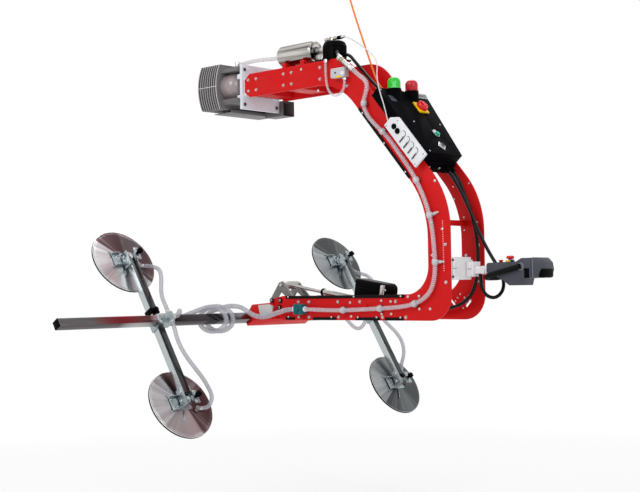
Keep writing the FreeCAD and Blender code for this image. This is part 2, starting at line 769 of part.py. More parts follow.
def socket_panel():
    # flat panel on the side of the box, with a block behind it on the side plate
    length, width, depth = panel_size
    a0, a1 = panel_start, panel_start + length
    o0, o1 = box_rise - width, box_rise
    back = -box_half
    face = back - depth
    plate = slope_block(a0, a1, o0, o1, face, back)
    corner = [on_slope(a0 - 1, o1 + 1, back), on_slope(a0 + panel_chamfer, o1 + 1, back),
              on_slope(a0 - 1, o1 - panel_chamfer, back)]
    plate = plate.cut(Part.Face(Part.makePolygon(corner + corner[:1])).extrude(V(0, -depth, 0)))
    parts = [slope_block(a0 + 8, a1 - 40, o0 + 4, -6, back, -plate_out)]
    for i in range(2):
        p = on_slope(a0 + 50 + 26 * i, o0 + 38, 0)
        parts.append(across(p.x, p.z, 11, face - 4, face))
    for i in range(4):
        a = a0 + 112 + 36 * i
        parts.append(slope_block(a - 13, a + 13, o0 + 12, o0 + 54, face - 5, face))
    return plate.fuse(parts).removeSplitter()


def handset_bracket():
    length, width, height = bracket_size
    x0 = back_outer_x - bracket_lap
    z0, z1 = bracket_z - height / 2, bracket_z + height / 2
    clamp = box(x0, x0 + length, -plate_in, width - plate_in, z0, z1)
    clamp = clamp.cut(box(x0 + 14, x0 + length - 14, 14 - plate_in, width - plate_in - 14, z0, z1))
    neck = box(x0 + length, neck_end, -34, 14, bracket_z - 34, bracket_z + 26)
    bar = box(neck_end, handset_nose, -22, 2, bracket_z - 24, bracket_z + 6)
    root = box(x0 + length - 14, x0 + length, -plate_in, 14, z0 + 12, z1 - 12)
    return clamp.fuse([root, neck, bar]).removeSplitter()


def handset_body():
    x0, x1 = handset_nose, handset_nose + handset_length
    half = handset_width / 2
    deck, back = handset_top(), bracket_z + handset_back
    body = profile([(x0, deck - 6), (x0 + 8, deck), (x0 + 152, deck), (x0 + 184, back), (x1 - 26, back),
                    (x1 - 6, back - 20), (x1, back - 50), (x1 - 12, back - 84), (x1 - 102, back - 87),
                    (x1 - 110, back - 116), (x1 - 156, back - 116), (x0 + 82, back - 90), (x0, deck - 42)],
                   -half, half)
    for x, y, r in handset_stems():
        body = body.cut(Part.makeCylinder(r, 20, V(x, y, deck - 16), V(0, 0, 1)))
    return body


def handset_top():
    return bracket_z + handset_deck


def handset_stems():
    return [(handset_nose + 66, 30.0, 9.0), (handset_nose + 54, -22.0, 7.0), (handset_nose + 112, -22.0, 7.0)]


def handset_loop():
    # guard hoop round the front of the handset, lower in front
    x0 = handset_nose - loop_tube_r - 4
    x1 = x0 + loop_reach
    half = handset_width / 2 + loop_tube_r + 1
    z0, z1 = bracket_z - 44, bracket_z + 2
    bend = 52.0
    pts = [V(x1, half, z1), V(x0, half, z0), V(x0, -half, z0), V(x1, -half, z1)]
    s1, m1, e1 = rounded(pts[0], pts[1], pts[2], bend)
    s2, m2, e2 = rounded(pts[1], pts[2], pts[3], bend)
    edges = [Part.LineSegment(pts[0], s1).toShape(), Part.Arc(s1, m1, e1).toShape(),
             Part.LineSegment(e1, s2).toShape(), Part.Arc(s2, m2, e2).toShape(),
             Part.LineSegment(e2, pts[3]).toShape()]
    section = Part.Wire([Part.makeCircle(loop_tube_r, pts[0], pts[1] - pts[0])])
    hoop = Part.Wire(edges).makePipeShell([section], True, False)
    feet = [box(x1 - 44, x1 - 20, min(s * half, s * handset_width / 2), max(s * half, s * handset_width / 2),
                z1 - 14, z1 + 2) for s in (-1, 1)]
    return hoop.fuse(feet).removeSplitter()


def estop_collar():
    x, y, r = handset_stems()[0]
    collar = Part.makeCylinder(estop_r + 4, 10, V(x, y, handset_top()), V(0, 0, 1))
    return collar.cut(Part.makeCylinder(r, 10, V(x, y, handset_top()), V(0, 0, 1)))


def handset_button(index, cap_r, cap_base, cap_h):
    x, y, r = handset_stems()[index]
    z = handset_top()
    stem = Part.makeCylinder(r - bore_clear, cap_base + 11, V(x, y, z - 10), V(0, 0, 1))
    cap = Part.makeCylinder(cap_r, cap_h, V(x, y, z + cap_base), V(0, 0, 1))
    return stem.fuse(cap.makeFillet(min(cap_h, cap_r) * 0.45, [cap.Edges[0]])).removeSplitter()


def control_cables():
    a, b = [p + slope_dir * 28 for p in gland_points()]
    da = slope_dir * 45
    rest = bracket_z - 24
    first = cord("handset cable", [tuple(a), tuple(a + da), (878, 62, -735), (914, 70, -812), (944, 80, -890),
                                   (974, 90, -962), (1010, 97, -1028), (1048, 99, -1082), (1080, 92, -1128),
                                   (1099, 76, -1172), (1098, 54, -1206), (1079, 32, -1225), (1054, 10, -1216),
                                   (1039, -3, -1188), (1034, -7, -1154), (1034, -8, rest - 0.8)], cable_r)
    x, y, z = junction
    second = cord("drive cable", [tuple(b), tuple(b + da), (882, 92, -760), (914, 98, -850), (936, 98, -945),
                                  (944, 97, -1045), (936, 95, -1140), (906, 93, -1210), (852, 91, -1252),
                                  (780, 90, -1270), (700, 91, -1277), (620, y, z), (x + end_gap, y, z)], cable_r)
    third = cord("filter cable", [(filter_x + filter_r + end_gap + 0.6, filter_y, -48), (310, filter_y, -48),
                                  (350, filter_y - 2, -90), (396, filter_y - 6, -134), (444, filter_y - 12, -180),
                                  (492, filter_y - 18, -222), (534, filter_y - 24, -254),
                                  tuple(on_slope(box_start - 4, 24, filter_y - 28))], cable_r)
    return group([first, second, third, sensor_wire()])


def sensor_wire():
    # thin lead from the top of the filter over to the socket panel
    x = filter_x + crown_reach
    top = top_z + 22 + filter_h
    side = -box_half - 8
    route = [(x + 0.8, filter_y, top)]
    route += [(325, -60, 24), (374, -66, -3), (429, -76, -38), (485, -90, -72),
              (528, -108, -109), (552, -126, -145), (563, -143, -182), (580, -158, -229),
              (601, -166, -281), (626, -168, -338)]
    route.append(tuple(on_slope(panel_start - 1.4, -4, side)))
    return cord("sensor wire", route, wire_r)


def supply_cable():
    # taut lead to the power feed above, cut off in a plug just above the lifter
    foot = on_slope(box_start + 46, -15, 0)
    gland_top = foot - slope_dir * 28
    route = [tuple(gland_top), tuple(gland_top - slope_dir * 40), (474, 0, -235), (438, 0, -192), (412, 0, -130),
             (378, 0, -44), (344, 0, 40), (308, 0, 132), (278, 0, 214), (266, 0, 250)]
    lead = cord("supply cable", route, supply_r)
    top = V(*route[-1])
    along = (top - V(*route[-2])).normalize()
    plug = rod(top, top + along * 44, 15).fuse(rod(top - along * 22, top, supply_r + 4))
    plug = plug.cut(rod(top - along * 22, top, supply_r))
    gland = rod(foot, gland_top, supply_r + 5)
    return group([lead, plug, gland])


def tilt_bearings():
    # bushes inside the plates and the washers of the bolts that hold them
    parts = []
    for side in (-1, 1):
        inner = side * (plate_in - 10)
        parts.append(ring(pivot_x, pivot_z, shaft_r + 12, shaft_r + bore_clear, min(inner, side * plate_in),
                          max(inner, side * plate_in)))
        for x, z in washer_points:
            y = [side * plate_out, side * (plate_out + 8)]
            parts.append(across(x, z, 12, min(y), max(y)))
    return group(parts)


def lever_outline():
    # bell crank: pivot eye, rod pin at the top, foot on the cradle, open in the middle
    return [(apex_x - 14, apex_z + 14), (apex_x + 16, apex_z + 14), (-66, -1226), (-66, -1270),
            (pivot_x - 20, pivot_z - 26), (-246, -1280), (-256, -1228)]


def tilt_levers():
    parts = []
    window = [(apex_x - 2, apex_z - 34), (-112, -1226), (-208, -1226)]
    for side in (-1, 1):
        y = sorted((side * lever_y, side * (lever_y + lever_t)))
        plate = profile(lever_outline(), *y).cut(profile(window, *y))
        plate = plate.cut(across(pivot_x, pivot_z, shaft_r + bore_clear, *y))
        plate = plate.cut(across(apex_x, apex_z, rod_pin_r + bore_clear, *y))
        parts.append(plate)
        y = sorted((side * link_y()[1], side * (link_y()[1] + arm_link_t)))
        link = Part.Face(outline_wire([(-246, -1248, 6), (-156, -1244, 20), (-140, -1282, 18), (-182, -1302, 14),
                                       (-232, -1300, 10)], y[0])).extrude(V(0, arm_link_t, 0))
        parts.append(link)
    return group(parts)


def link_y():
    inner = plate_out + cheek_clear
    return inner, inner + cheek_t


def tilt_shaft():
    y = link_y()[1]
    shaft = across(pivot_x, pivot_z, shaft_r, -y, y)
    pin = across(apex_x, apex_z, rod_pin_r, -lever_y - lever_t - 4, lever_y + lever_t + 4)
    return group([shaft, pin])


def cradle():
    # channel round the beam, side cheeks to the shaft, and feet under the levers
    half = beam_size / 2 + bore_clear
    w = cradle_wall
    near = -link_y()[1]
    n0, n1 = -cradle_rise[0], cradle_rise[1]
    channel = box(n0, n1, near, cradle_far, -half - w - 6, half + w)
    channel = channel.cut(box(half + w, n1, near, cradle_far, -half - 4, half + w))
    parts = []
    for side in (-1, 1):
        y = sorted(side * v for v in link_y())
        cheek = profile([(beam_x + 2, beam_z + 30), (beam_x + 30, beam_z + 66), (pivot_x + 4, pivot_z + 24),
                         (pivot_x + 22, pivot_z), (pivot_x + 4, pivot_z - 26), (beam_x + 34, beam_z - 4)], *y)
        parts.append(cheek.cut(across(pivot_x, pivot_z, shaft_r + bore_clear, *y)))
    feet = [profile([(-252, -1262), (-206, -1262), (beam_x + 62, beam_z - 6), (beam_x + 20, beam_z + 10)],
                    *sorted((s * lever_y, s * (lever_y - lever_t)))) for s in (-1, 1)]
    body = to_head(channel).fuse(parts + feet)
    hole = to_head(box(-half, half, near - 1, cradle_far + 1, -half, half))
    return body.cut(hole).removeSplitter()


def main_beam():
    half = beam_size / 2
    inner = half - beam_wall
    tube = box(-half, half, -beam_half, beam_half, -half, half)
    return to_head(tube.cut(box(-inner, inner, -beam_half, beam_half, -inner, inner)))


def beam_caps():
    half = beam_size / 2
    caps = []
    for side in (-1, 1):
        y = sorted((side * beam_half, side * (beam_half + cap_t)))
        caps.append(to_head(box(-half, half, y[0], y[1], -half, half)))
    return group(caps)


def actuator_axis(s, y, lift):
    # s along the actuator from the rod pin, lift square to it
    a = math.radians(actuator_slope)
    return V(apex_x + s * math.cos(a) + lift * math.sin(a), y, apex_z - s * math.sin(a) + lift * math.cos(a))


def actuator_block(s0, s1, y0, y1, l0, l1):
    corners = ((s0, l0), (s1, l0), (s1, l1), (s0, l1))
    pts = [actuator_axis(s, y0, lift) for s, lift in corners]
    return Part.Face(Part.makePolygon(pts + pts[:1])).extrude(V(0, y1 - y0, 0))


def actuator_rod():
    inside = lever_y - fork_clear
    eye = across(apex_x, apex_z, 20, -inside, inside)
    stem = rod(actuator_axis(0, 0, 0), actuator_axis(rod_visible + 180, 0, 0), rod_r)
    bore = across(apex_x, apex_z, rod_pin_r + bore_clear, -inside, inside)
    return eye.fuse(stem).removeSplitter().cut(bore)


def actuator_body():
    s0 = rod_visible
    s1 = actuator_length - motor_length
    tube = rod(actuator_axis(s0, 0, 0), actuator_axis(s1 + 40, 0, 0), tube_r)
    collar = rod(actuator_axis(s0, 0, 0), actuator_axis(s0 + 14, 0, 0), tube_r + 3)
    s2, s3 = actuator_length - 40, actuator_length + motor_tail
    case = actuator_block(s1, s2, -motor_half, motor_half, -motor_drop, motor_rise)
    case = case.fuse(actuator_block(s2, s3, -motor_half, motor_half, motor_arch, motor_rise)).removeSplitter()
    back = actuator_axis(s3, 0, motor_rise)
    edges = [e for e in case.Edges if (e.CenterOfMass - back).Length < 1]
    case = case.makeFillet(28, edges)
    ridge = [actuator_axis((s1 + s3 - 28) / 2, y, motor_rise) for y in (-motor_half, motor_half)]
    case = case.makeFillet(14, [e for e in case.Edges if min((e.CenterOfMass - r).Length for r in ridge) < 1])
    tail = actuator_block(actuator_length - 60, actuator_length + 34, -22, 22,
                          -motor_drop - 12, motor_drop + 12)
    w, h = rear_window
    window = actuator_block(actuator_length - w, actuator_length + w, -22, 22, -h, h)
    body = tube.fuse([collar, case, tail]).removeSplitter().cut(window)
    bore = rod(actuator_axis(s0 - 1, 0, 0), actuator_axis(rod_visible + 280, 0, 0), rod_r + bore_clear)
    return body.cut(bore)


arm_top = -beam_size / 2 - slide_clear - clamp_t      # cross arm's upper face from the beam's axis


def cross_arm(y):
    half = beam_size / 2
    inner = half - beam_wall
    n0 = arm_top - beam_size
    end = disc_reach - cross_end_gap
    tube = box(n0, arm_top, y - half, y + half, -end, end)
    return to_head(tube.cut(box(n0 + beam_wall, arm_top - beam_wall, y - inner, y + inner, -end, end)))


def cross_brackets(y, inward):
    # sliding clamp on the beam, hose tee on its inward side, and a fork at each end that holds a disc
    half = beam_size / 2 + slide_clear
    t = clamp_t
    sleeve = box(arm_top, half + t, y - clamp_half, y + clamp_half, -half - t, half + t)
    sleeve = sleeve.cut(box(-half, half, y - clamp_half, y + clamp_half, -half, half))
    arm = beam_size / 2
    yoke = box(arm_top - beam_size - t, arm_top, y - arm - t, y + arm + t, -26, 26)
    yoke = yoke.cut(box(arm_top - beam_size, arm_top, y - arm, y + arm, -26, 26))
    ky = y - 22 * inward
    knob = rod(V(half + t, ky, 0), V(half + t + 12, ky, 0), 9)
    ty = y + tee_y * inward
    tee = box(half + t, half + t + 2 * tee_rise, ty - 15, ty + 15, -22, 22)
    band = box(arm_top - beam_size - t, arm_top + t, y - arm - t, y + arm + t, 58, 86)
    band = band.cut(box(arm_top - beam_size, arm_top, y - arm, y + arm, 58, 86))
    lock = rod(V(arm_top + t, y, 72), V(arm_top + t + 16, y, 72), 12)
    parts = [sleeve.fuse([yoke, knob, tee]).removeSplitter(), band.fuse(lock).removeSplitter()]
    for side in (-1, 1):
        parts.append(disc_fork(y, side))
    return group([to_head(p) for p in parts])


def tee_point(y, inward):
    # middle of the tee, round the beam's axis
    return beam_size / 2 + slide_clear + clamp_t + tee_rise, y + tee_y * inward


def disc_fork(y, side):
    # two cheeks beside the arm, a strap under it, and a plate with a knob on one cheek
    arm = beam_size / 2
    n1 = arm_top
    n0 = n1 - beam_size
    c = sorted((side * (disc_reach - 58), side * (disc_reach + hub_r)))
    cheeks = [box(-pad_pin_drop - 14, n1, y + s * arm - (bracket_t if s < 0 else 0),
                  y + s * arm + (bracket_t if s > 0 else 0), c[0], c[1]) for s in (-1, 1)]
    c = sorted((side * (disc_reach - 56), side * (disc_reach - 30)))
    strap = box(n0 - clamp_t, n0, y - arm - bracket_t, y + arm + bracket_t, c[0], c[1])
    c = sorted((side * disc_reach - 34, side * disc_reach + 32))
    plate = box(n1, n1 + bracket_t, y + arm, y + knob_side + 12, c[0], c[1])
    fork = cheeks[0].fuse([cheeks[1], strap, plate]).removeSplitter()
    ys = (y - arm - bracket_t, y + arm + bracket_t)
    fork = fork.cut(Part.makeCylinder(pad_pin_r + bore_clear, ys[1] - ys[0],
                                      V(-pad_pin_drop, ys[0], side * disc_reach), V(0, 1, 0)))
    foot = V(n1 + bracket_t, y + knob_side, side * disc_reach)
    knob = rod(foot, foot + V(12, 0, 0), 8).fuse(rod(foot + V(12, 0, 0), foot + V(28, 0, 0), 14))
    return fork.fuse(knob).removeSplitter()


def revolved(points, y, c):
    # profile of (radius, n) points turned about the disc's own axis
    corners = [V(n, y + r, c) for r, n in points]
    face = Part.Face(Part.makePolygon(corners + corners[:1]))
    return face.revolve(V(0, y, c), V(1, 0, 0), 360)


def suction_disc(y, side, inward):
    rim = -disc_offset + seal_h
    seat = rim + disc_rise
    c = side * disc_reach
    dish = revolved([(0, seat), (30, seat), (disc_r - 12, rim + disc_t), (disc_r, rim + disc_t), (disc_r, rim),
                     (disc_r - 12.4, rim), (29.6, seat - disc_t), (0, seat - disc_t)], y, c)
    hub = Part.makeCylinder(hub_r, hub_h, V(seat - 0.5, y, c), V(1, 0, 0))
    ys = (y - beam_size / 2 - bracket_t - 3, y + beam_size / 2 + bracket_t + 3)
    pin = Part.makeCylinder(pad_pin_r, ys[1] - ys[0], V(-pad_pin_drop, ys[0], c), V(0, 1, 0))
    n, fc = fitting_place(side, inward)
    fitting = Part.makeCylinder(fitting_r, fitting_rise, V(n, y + fitting_y, fc), V(1, 0, 0))
    n, ey, ec = elbow_end(y, side, inward)
    elbow = rod(V(n, y + fitting_y, fc), V(n, ey, ec), hose_r)
    return to_head(dish.fuse([hub, pin, fitting, elbow]).removeSplitter())


def fitting_place(side, inward):
    # foot of a disc's hose fitting on the dish
    drop = fitting_drop if inward > 0 else 0
    reach = math.hypot(fitting_y, drop)
    n = -disc_offset + seal_h + disc_t + (disc_rise - disc_t) * (1 - (reach - 30) / (disc_r - 42)) - 2
    return n, side * disc_reach - drop


def elbow_end(y, side, inward):
    # open end of a disc's hose elbow: sideways on the near arm, towards the beam on the far one
    n, c = fitting_place(side, inward)
    n += fitting_rise - fitting_r
    if inward > 0:
        return n, y + fitting_y + 26, c
    return n, y + fitting_y, c - side * 26


def disc_seal(y, side):
    rim = -disc_offset + seal_h
    c = side * disc_reach
    return to_head(revolved([(seal_inner_r, -disc_offset), (seal_r, -disc_offset), (seal_r, rim + disc_t),
                             (disc_r + bore_clear, rim + disc_t), (disc_r + bore_clear, rim),
                             (disc_r - 12, rim), (seal_inner_r + 4, -disc_offset + 4)], y, c))


def disc_hoses(name, y, inward):
    # from the tee on the beam clamp to the elbow of each disc
    hoses = []
    tee_n, ty = tee_point(y, inward)
    for side in (-1, 1):
        s = side
        n, ey, c = elbow_end(y, side, inward)
        points = [(tee_n, ty, s * (22 + end_gap)), (tee_n, ty, s * 62)]
        if inward > 0 and s > 0:
            points += [(tee_n - 4, y + 22, 112), (tee_n - 12, y + 47, 167), (tee_n - 28, y + 85, 222),
                       (tee_n - 52, y + 121, 272), (tee_n - 78, ey + 61, c - 43), (n + 15, ey + 57, c - 17),
                       (n + 4, ey + 42, c - 3), (n, ey + 24, c), (n, ey + end_gap, c)]
        elif inward > 0:
            points += [(tee_n - 1, y + 8, -115), (tee_n - 2, y + 10, -169), (tee_n - 8, y + 28, -223),
                       (tee_n - 18, y + 58, -272), (tee_n - 32, y + 93, -316), (tee_n - 50, y + 122, -356),
                       (tee_n - 74, ey + 61, c + 43), (n + 17, ey + 57, c + 17), (n + 4, ey + 42, c + 3),
                       (n, ey + 24, c), (n, ey + end_gap, c)]
        else:
            points += [(tee_n + 4, y + 8, s * 112), (tee_n + 2, y + 42, s * 160), (tee_n - 14, y + 70, s * 210),
                       (tee_n - 44, y + 80, s * 260), (n + 16, y + 74, s * 306), (n, ey, c - s * 30),
                       (n, ey, c - s * end_gap)]
        hoses.append(cord(name + (" upper" if s > 0 else " lower"), [head_point(*p) for p in points], hose_r))
    return group(hoses)


def coil_points():
    # centre line and heading of the loops round the beam, drawn out at both ends
    points = []
    for angle in coil_angles:
        a = math.radians(angle)
        along = coil_y + coil_pitch * (angle - coil_angles[0]) / 360 + coil_lean * math.sin(a)
        climb = (coil_pitch / (2 * math.pi) + coil_lean * math.cos(a)) / coil_r
        if angle == coil_angles[0]:
            climb = coil_draw[0]
            along -= coil_lead[0]
        if angle == coil_angles[-1]:
            climb = coil_draw[1]
            along += coil_lead[1]
        place = V(beam_x + coil_r * math.sin(a), along, beam_z + coil_r * math.cos(a))
        points.append((place, V(math.cos(a), climb, -math.sin(a)).normalize()))
    return points


def hose_coil():
    points = coil_points()
    edges = []
    start, heading = points[0]
    edges.append(Part.LineSegment(start - heading * 2 * feed_r, start).toShape())
    for (p0, t0), (p1, t1) in zip(points, points[1:]):
        edges += biarc(p0, t0, p1, t1)
    end, heading = points[-1]
    edges.append(Part.LineSegment(end, end + heading * 2 * feed_r).toShape())
    line = [v for e in edges for v in e.discretize(8)]
    apart = int(len(line) / 3)
    gap = min((line[i] - line[j]).Length for i in range(len(line)) for j in range(i + apart, len(line)))
    print("hose coil: least gap to itself %.1f" % (gap - 2 * feed_r))
    return pipe("hose coil", edges, feed_r, min(e.Curve.Radius for e in edges[1:-1]))


def feed_ends():
    points = coil_points()
    start = points[0][0] - points[0][1] * 2 * feed_r
    end = points[-1][0] + points[-1][1] * 2 * feed_r
    return start, end


def near_feed_hose():
    start, end = feed_ends()
    n, ty = tee_point(near_cross_y, 1)
    x, y, z = head_point(n, ty + 15 + end_gap, 0)
    heading = coil_points()[0][1]
    return cord("near feed hose", [(x, y, z), (x, y + 28, z), (x - 8, y + 50, z + 18), (x - 32, y + 72, z + 26),
                                   (x - 64, y + 92, z + 8), tuple(start - heading * 36),
                                   tuple(start - heading * end_gap)], feed_r)


def arm_feed_hose():
    start, end = feed_ends()
    y = hose_run_y()
    heading = coil_points()[-1][1]
    return cord("arm feed hose", [(12 - end_gap, y, lower_z + 53), (-36, y, lower_z + 53),
                                  (-96, y - 20, lower_z + 36), (-156, y - 28, lower_z + 18),
                                  (-204, y - 37, lower_z + 15), (-238, y - 53, lower_z + 26),
                                  (-265, y - 66, lower_z + 47), tuple(end + heading * 40),
                                  tuple(end + heading * end_gap)], feed_r)


def far_feed_hose():
    n, ty = tee_point(far_cross_y, -1)
    x, y, z = head_point(n, ty - 15 - end_gap, 0)
    y0 = cradle_far
    return cord("far feed hose", [(x, y, z), (x, y - 40, z), (x + 6, y - 78, z - 20), (x + 15, y - 108, z - 57),
                                  (x + 22, y - 141, z - 90), (x + 24, y - 184, z - 101), (x + 22, y - 224, z - 82),
                                  (x + 14, y - 257, z - 46), (x + 6, y - 296, z - 14), (x + 1, y - 346, z + 1),
                                  (x, y - 400, z + 4), (x - 1, y - 456, z + 2), (x - 1, y0 + end_gap, z + 1)],
                hose_r)


nodes = {
    "front_side_plate": side_plate(-plate_out),
    "rear_side_plate": side_plate(plate_in, [(back_inner_x - 62, -42), (back_inner_x + 26, 42)]),
    "frame_spacers": frame_spacers(),
    "frame_bolts": frame_bolts(),
    "edge_strips": edge_strips(),
    "lifting_lug": lifting_lug(),
    "pump_flange": pump_flange(),
    "pump_housing": pump_housing(),
    "pump_tray": pump_tray(),
    "vacuum_tank": vacuum_tank(),
    "tank_saddles": tank_saddles(),
    "filter_housing": filter_housing(),
    "air_fittings": air_fittings(),
    "main_hose": cord("main hose", main_route, hose_r),
    "hose_clips": hose_clips(),
    "pump_hoses": pump_hoses(),
    "control_box": control_box(),
    "control_lid": control_lid(),
    "green_beacon": beacon(beacon_ys()[0]),
    "red_beacon": beacon(beacon_ys()[1]),
    "panel_bezels": panel_bezels(),
    "cable_glands": cable_glands(),
    "socket_panel": socket_panel(),
    "handset_bracket": handset_bracket(),
    "handset_body": handset_body(),
    "handset_loop": handset_loop(),
    "control_cables": control_cables(),
    "supply_cable": supply_cable(),
    "tilt_bearings": tilt_bearings(),
    "main_switch_knob": main_switch_knob(),
    "start_button": lid_button(1),
    "key_switch": key_switch(),
    "estop_button": handset_button(0, estop_r, 16, 14),
    "red_button": handset_button(1, 10, 6, 6),
    "blue_button": handset_button(2, 10, 6, 6),
    "tilt_levers": tilt_levers(),
    "tilt_shaft": tilt_shaft(),
    "cradle": cradle(),
    "main_beam": main_beam(),
    "beam_caps": beam_caps(),
    "actuator_rod": actuator_rod(),
    "actuator_body": actuator_body(),
    "hose_coil": hose_coil(),
    "near_feed_hose": near_feed_hose(),
    "arm_feed_hose": arm_feed_hose(),
    "far_feed_hose": far_feed_hose(),
}
for side_name, cross_y, inward in (("near", near_cross_y, 1), ("far", far_cross_y, -1)):
    nodes[side_name + "_cross_arm"] = cross_arm(cross_y)
    nodes[side_name + "_brackets"] = cross_brackets(cross_y, inward)
    nodes[side_name + "_hoses"] = disc_hoses(side_name + " hose", cross_y, inward)
    for level, side in (("upper", 1), ("lower", -1)):
        nodes["%s_%s_disc" % (side_name, level)] = suction_disc(cross_y, side, inward)
        nodes["%s_%s_seal" % (side_name, level)] = disc_seal(cross_y, side)

os.makedirs("parts", exist_ok=True)
for name, shape in nodes.items():
    shape.exportStep("parts/%s.step" % name)
print(len(nodes), "nodes")
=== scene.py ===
import json
import math
import bmesh
import bpy
from mathutils import Matrix, Vector


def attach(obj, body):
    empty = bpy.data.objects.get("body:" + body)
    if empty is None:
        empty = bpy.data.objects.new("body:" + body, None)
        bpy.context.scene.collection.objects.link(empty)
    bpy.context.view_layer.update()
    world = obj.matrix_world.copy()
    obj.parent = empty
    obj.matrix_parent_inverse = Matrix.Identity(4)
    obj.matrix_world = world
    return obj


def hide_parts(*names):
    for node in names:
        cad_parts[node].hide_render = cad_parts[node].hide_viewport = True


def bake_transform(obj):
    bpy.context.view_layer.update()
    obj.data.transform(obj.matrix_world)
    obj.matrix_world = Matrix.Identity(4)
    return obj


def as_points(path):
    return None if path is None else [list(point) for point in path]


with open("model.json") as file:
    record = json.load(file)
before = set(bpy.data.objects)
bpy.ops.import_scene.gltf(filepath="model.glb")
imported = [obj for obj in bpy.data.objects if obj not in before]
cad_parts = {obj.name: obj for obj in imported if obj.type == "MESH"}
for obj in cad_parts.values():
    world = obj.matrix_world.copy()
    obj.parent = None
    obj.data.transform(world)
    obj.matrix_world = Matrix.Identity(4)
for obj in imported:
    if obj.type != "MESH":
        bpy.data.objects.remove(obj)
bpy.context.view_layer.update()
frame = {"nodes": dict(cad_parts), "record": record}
nodes = frame["nodes"]
bodyOf = {n: body for body, members in frame["record"]["behaviour"]["bodies"].items() for n in members}
print("frame:", len(nodes), "nodes")


def leaning(degrees, origin):
    # a place turned about Y: local X runs down the slope for a positive angle, local Z points out of it
    return Matrix.Translation(origin) @ Matrix.Rotation(math.radians(degrees), 4, "Y")


upright = Matrix.Identity(4)
slopePlace = leaning(49, (0.3541, 0, -0.075))         # control box: X along the slope, Z out of its face
headPlace = leaning(-32, (-0.326, 0, -1.312))         # beam: X towards the discs' back, Z up the cross arms
actuatorPlace = leaning(9.2, (-0.172, 0, -1.150))     # actuator: X from the rod pin to the rear pin


def onSlope(along, out, y):
    return slopePlace @ Vector((along, y, out))


def onHead(n, y, c):
    return headPlace @ Vector((n, y, c))


# Finishes

class Signal:
    # output of a shader node, so that shader maths reads as an expression
    def __init__(self, graph, socket):
        self.graph = graph
        self.socket = socket

    def __add__(self, other):
        return self.graph.maths("ADD", self, other)

    __radd__ = __add__

    def __sub__(self, other):
        return self.graph.maths("SUBTRACT", self, other)

    def __rsub__(self, other):
        return self.graph.maths("SUBTRACT", other, self)

    def __mul__(self, other):
        return self.graph.maths("MULTIPLY", self, other)

    __rmul__ = __mul__

    def __pow__(self, other):
        return self.graph.maths("POWER", self, other)

    def __gt__(self, other):
        return self.graph.maths("GREATER_THAN", self, other)


class Graph:
    def __init__(self, tree):
        self.tree = tree

    def feed(self, socket, value):
        if isinstance(value, Signal):
            self.tree.links.new(value.socket, socket)
        else:
            socket.default_value = value

    def node(self, kind, settings, sockets, output=0):
        made = self.tree.nodes.new(kind)
        for name, value in settings.items():
            setattr(made, name, value)
        for name, value in sockets.items():
            self.feed(made.inputs[name], value)
        return Signal(self, made.outputs[output])

    def maths(self, operation, first, second=0.0):
        return self.node("ShaderNodeMath", {"operation": operation}, {0: first, 1: second})

    def product(self, first, second):
        return self.node("ShaderNodeVectorMath", {"operation": "MULTIPLY"}, {0: first, 1: second})


class Finish(Graph):
    def __init__(self, name, settings):
        self.material = bpy.data.materials.new(name)
        self.material.use_nodes = True
        super().__init__(self.material.node_tree)
        self.shader = self.tree.nodes["Principled BSDF"]
        self.place = self.node("ShaderNodeTexCoord", {}, {}, "Object")
        for name, value in settings.items():
            self.give(name, value)

    def give(self, name, value):
        self.feed(self.shader.inputs[name], value)

    def noise(self, scale, detail=3, place=None):
        sockets = {"Vector": place or self.place, "Scale": scale, "Detail": detail}
        return self.node("ShaderNodeTexNoise", {}, sockets)

    def streaks(self, value, scale, detail):
        # noise along a single value
        sockets = {"W": value, "Scale": scale, "Detail": detail}
        return self.node("ShaderNodeTexNoise", {"noise_dimensions": "1D"}, sockets)

    def local(self, placed, stretch=(1, 1, 1)):
        # object coordinates seen from a placed frame, and stretched
        sockets = {"Vector": self.place, "Location": placed.to_translation(), "Rotation": placed.to_euler()}
        return self.product(self.node("ShaderNodeMapping", {"vector_type": "TEXTURE"}, sockets), stretch)

    def mix(self, share, first, second):
        return self.node("ShaderNodeMix", {"data_type": "RGBA"}, {0: share, 6: first, 7: second}, 2)

    def tint(self, share, colour, low, high):
        # between two shades of a colour
        return self.mix(share, shade(colour, low), shade(colour, high))

    def bump(self, height, strength, depth):
        sockets = {"Height": height, "Strength": strength, "Distance": depth}
        return self.node("ShaderNodeBump", {}, sockets)


def shade(colour, factor=1):
    return (colour[0] * factor, colour[1] * factor, colour[2] * factor, 1)


def coated(f, colour, rough, relief, coat):
    # cloudy colour, uneven gloss and a fine relief, each from a noise of its own
    scale, detail, darkest, lightest = coat["cloud"]
    f.give("Base Color", f.tint(f.noise(scale, detail), colour, darkest, lightest))
    scale, detail, spread = coat["gloss"]
    f.give("Roughness", rough + spread * (f.noise(scale, detail) - 0.5))
    scale, detail, depth = coat["relief"]
    f.give("Normal", f.bump(f.noise(scale, detail), relief, depth))
    return f.material


def painted(name, colour, rough, shine, peel):
    # sprayed coat with a little orange peel and faint handling marks
    coat = {"cloud": (9, 5, 0.92, 1.06), "gloss": (34, 4, 0.16), "relief": (420, 2, 0.0004)}
    return coated(Finish(name, {"Specular IOR Level": shine}), colour, rough, peel, coat)


def moulded(name, colour, rough, grain, shine=0.25):
    # plastic or rubber with a fine moulded grain
    coat = {"cloud": (22, 4, 0.85, 1.12), "gloss": (60, 3, 0.12), "relief": (900, 2, 0.0003)}
    return coated(Finish(name, {"Specular IOR Level": shine}), colour, rough, grain, coat)


def plated(name, colour, rough, blotch):
    # zinc plating and plain machined steel
    coat = {"cloud": (30, 5, 1 - blotch, 1 + blotch), "gloss": (75, 4, 0.2), "relief": (500, 3, 0.0002)}
    return coated(Finish(name, {"Metallic": 1.0}), colour, rough, 0.06, coat)


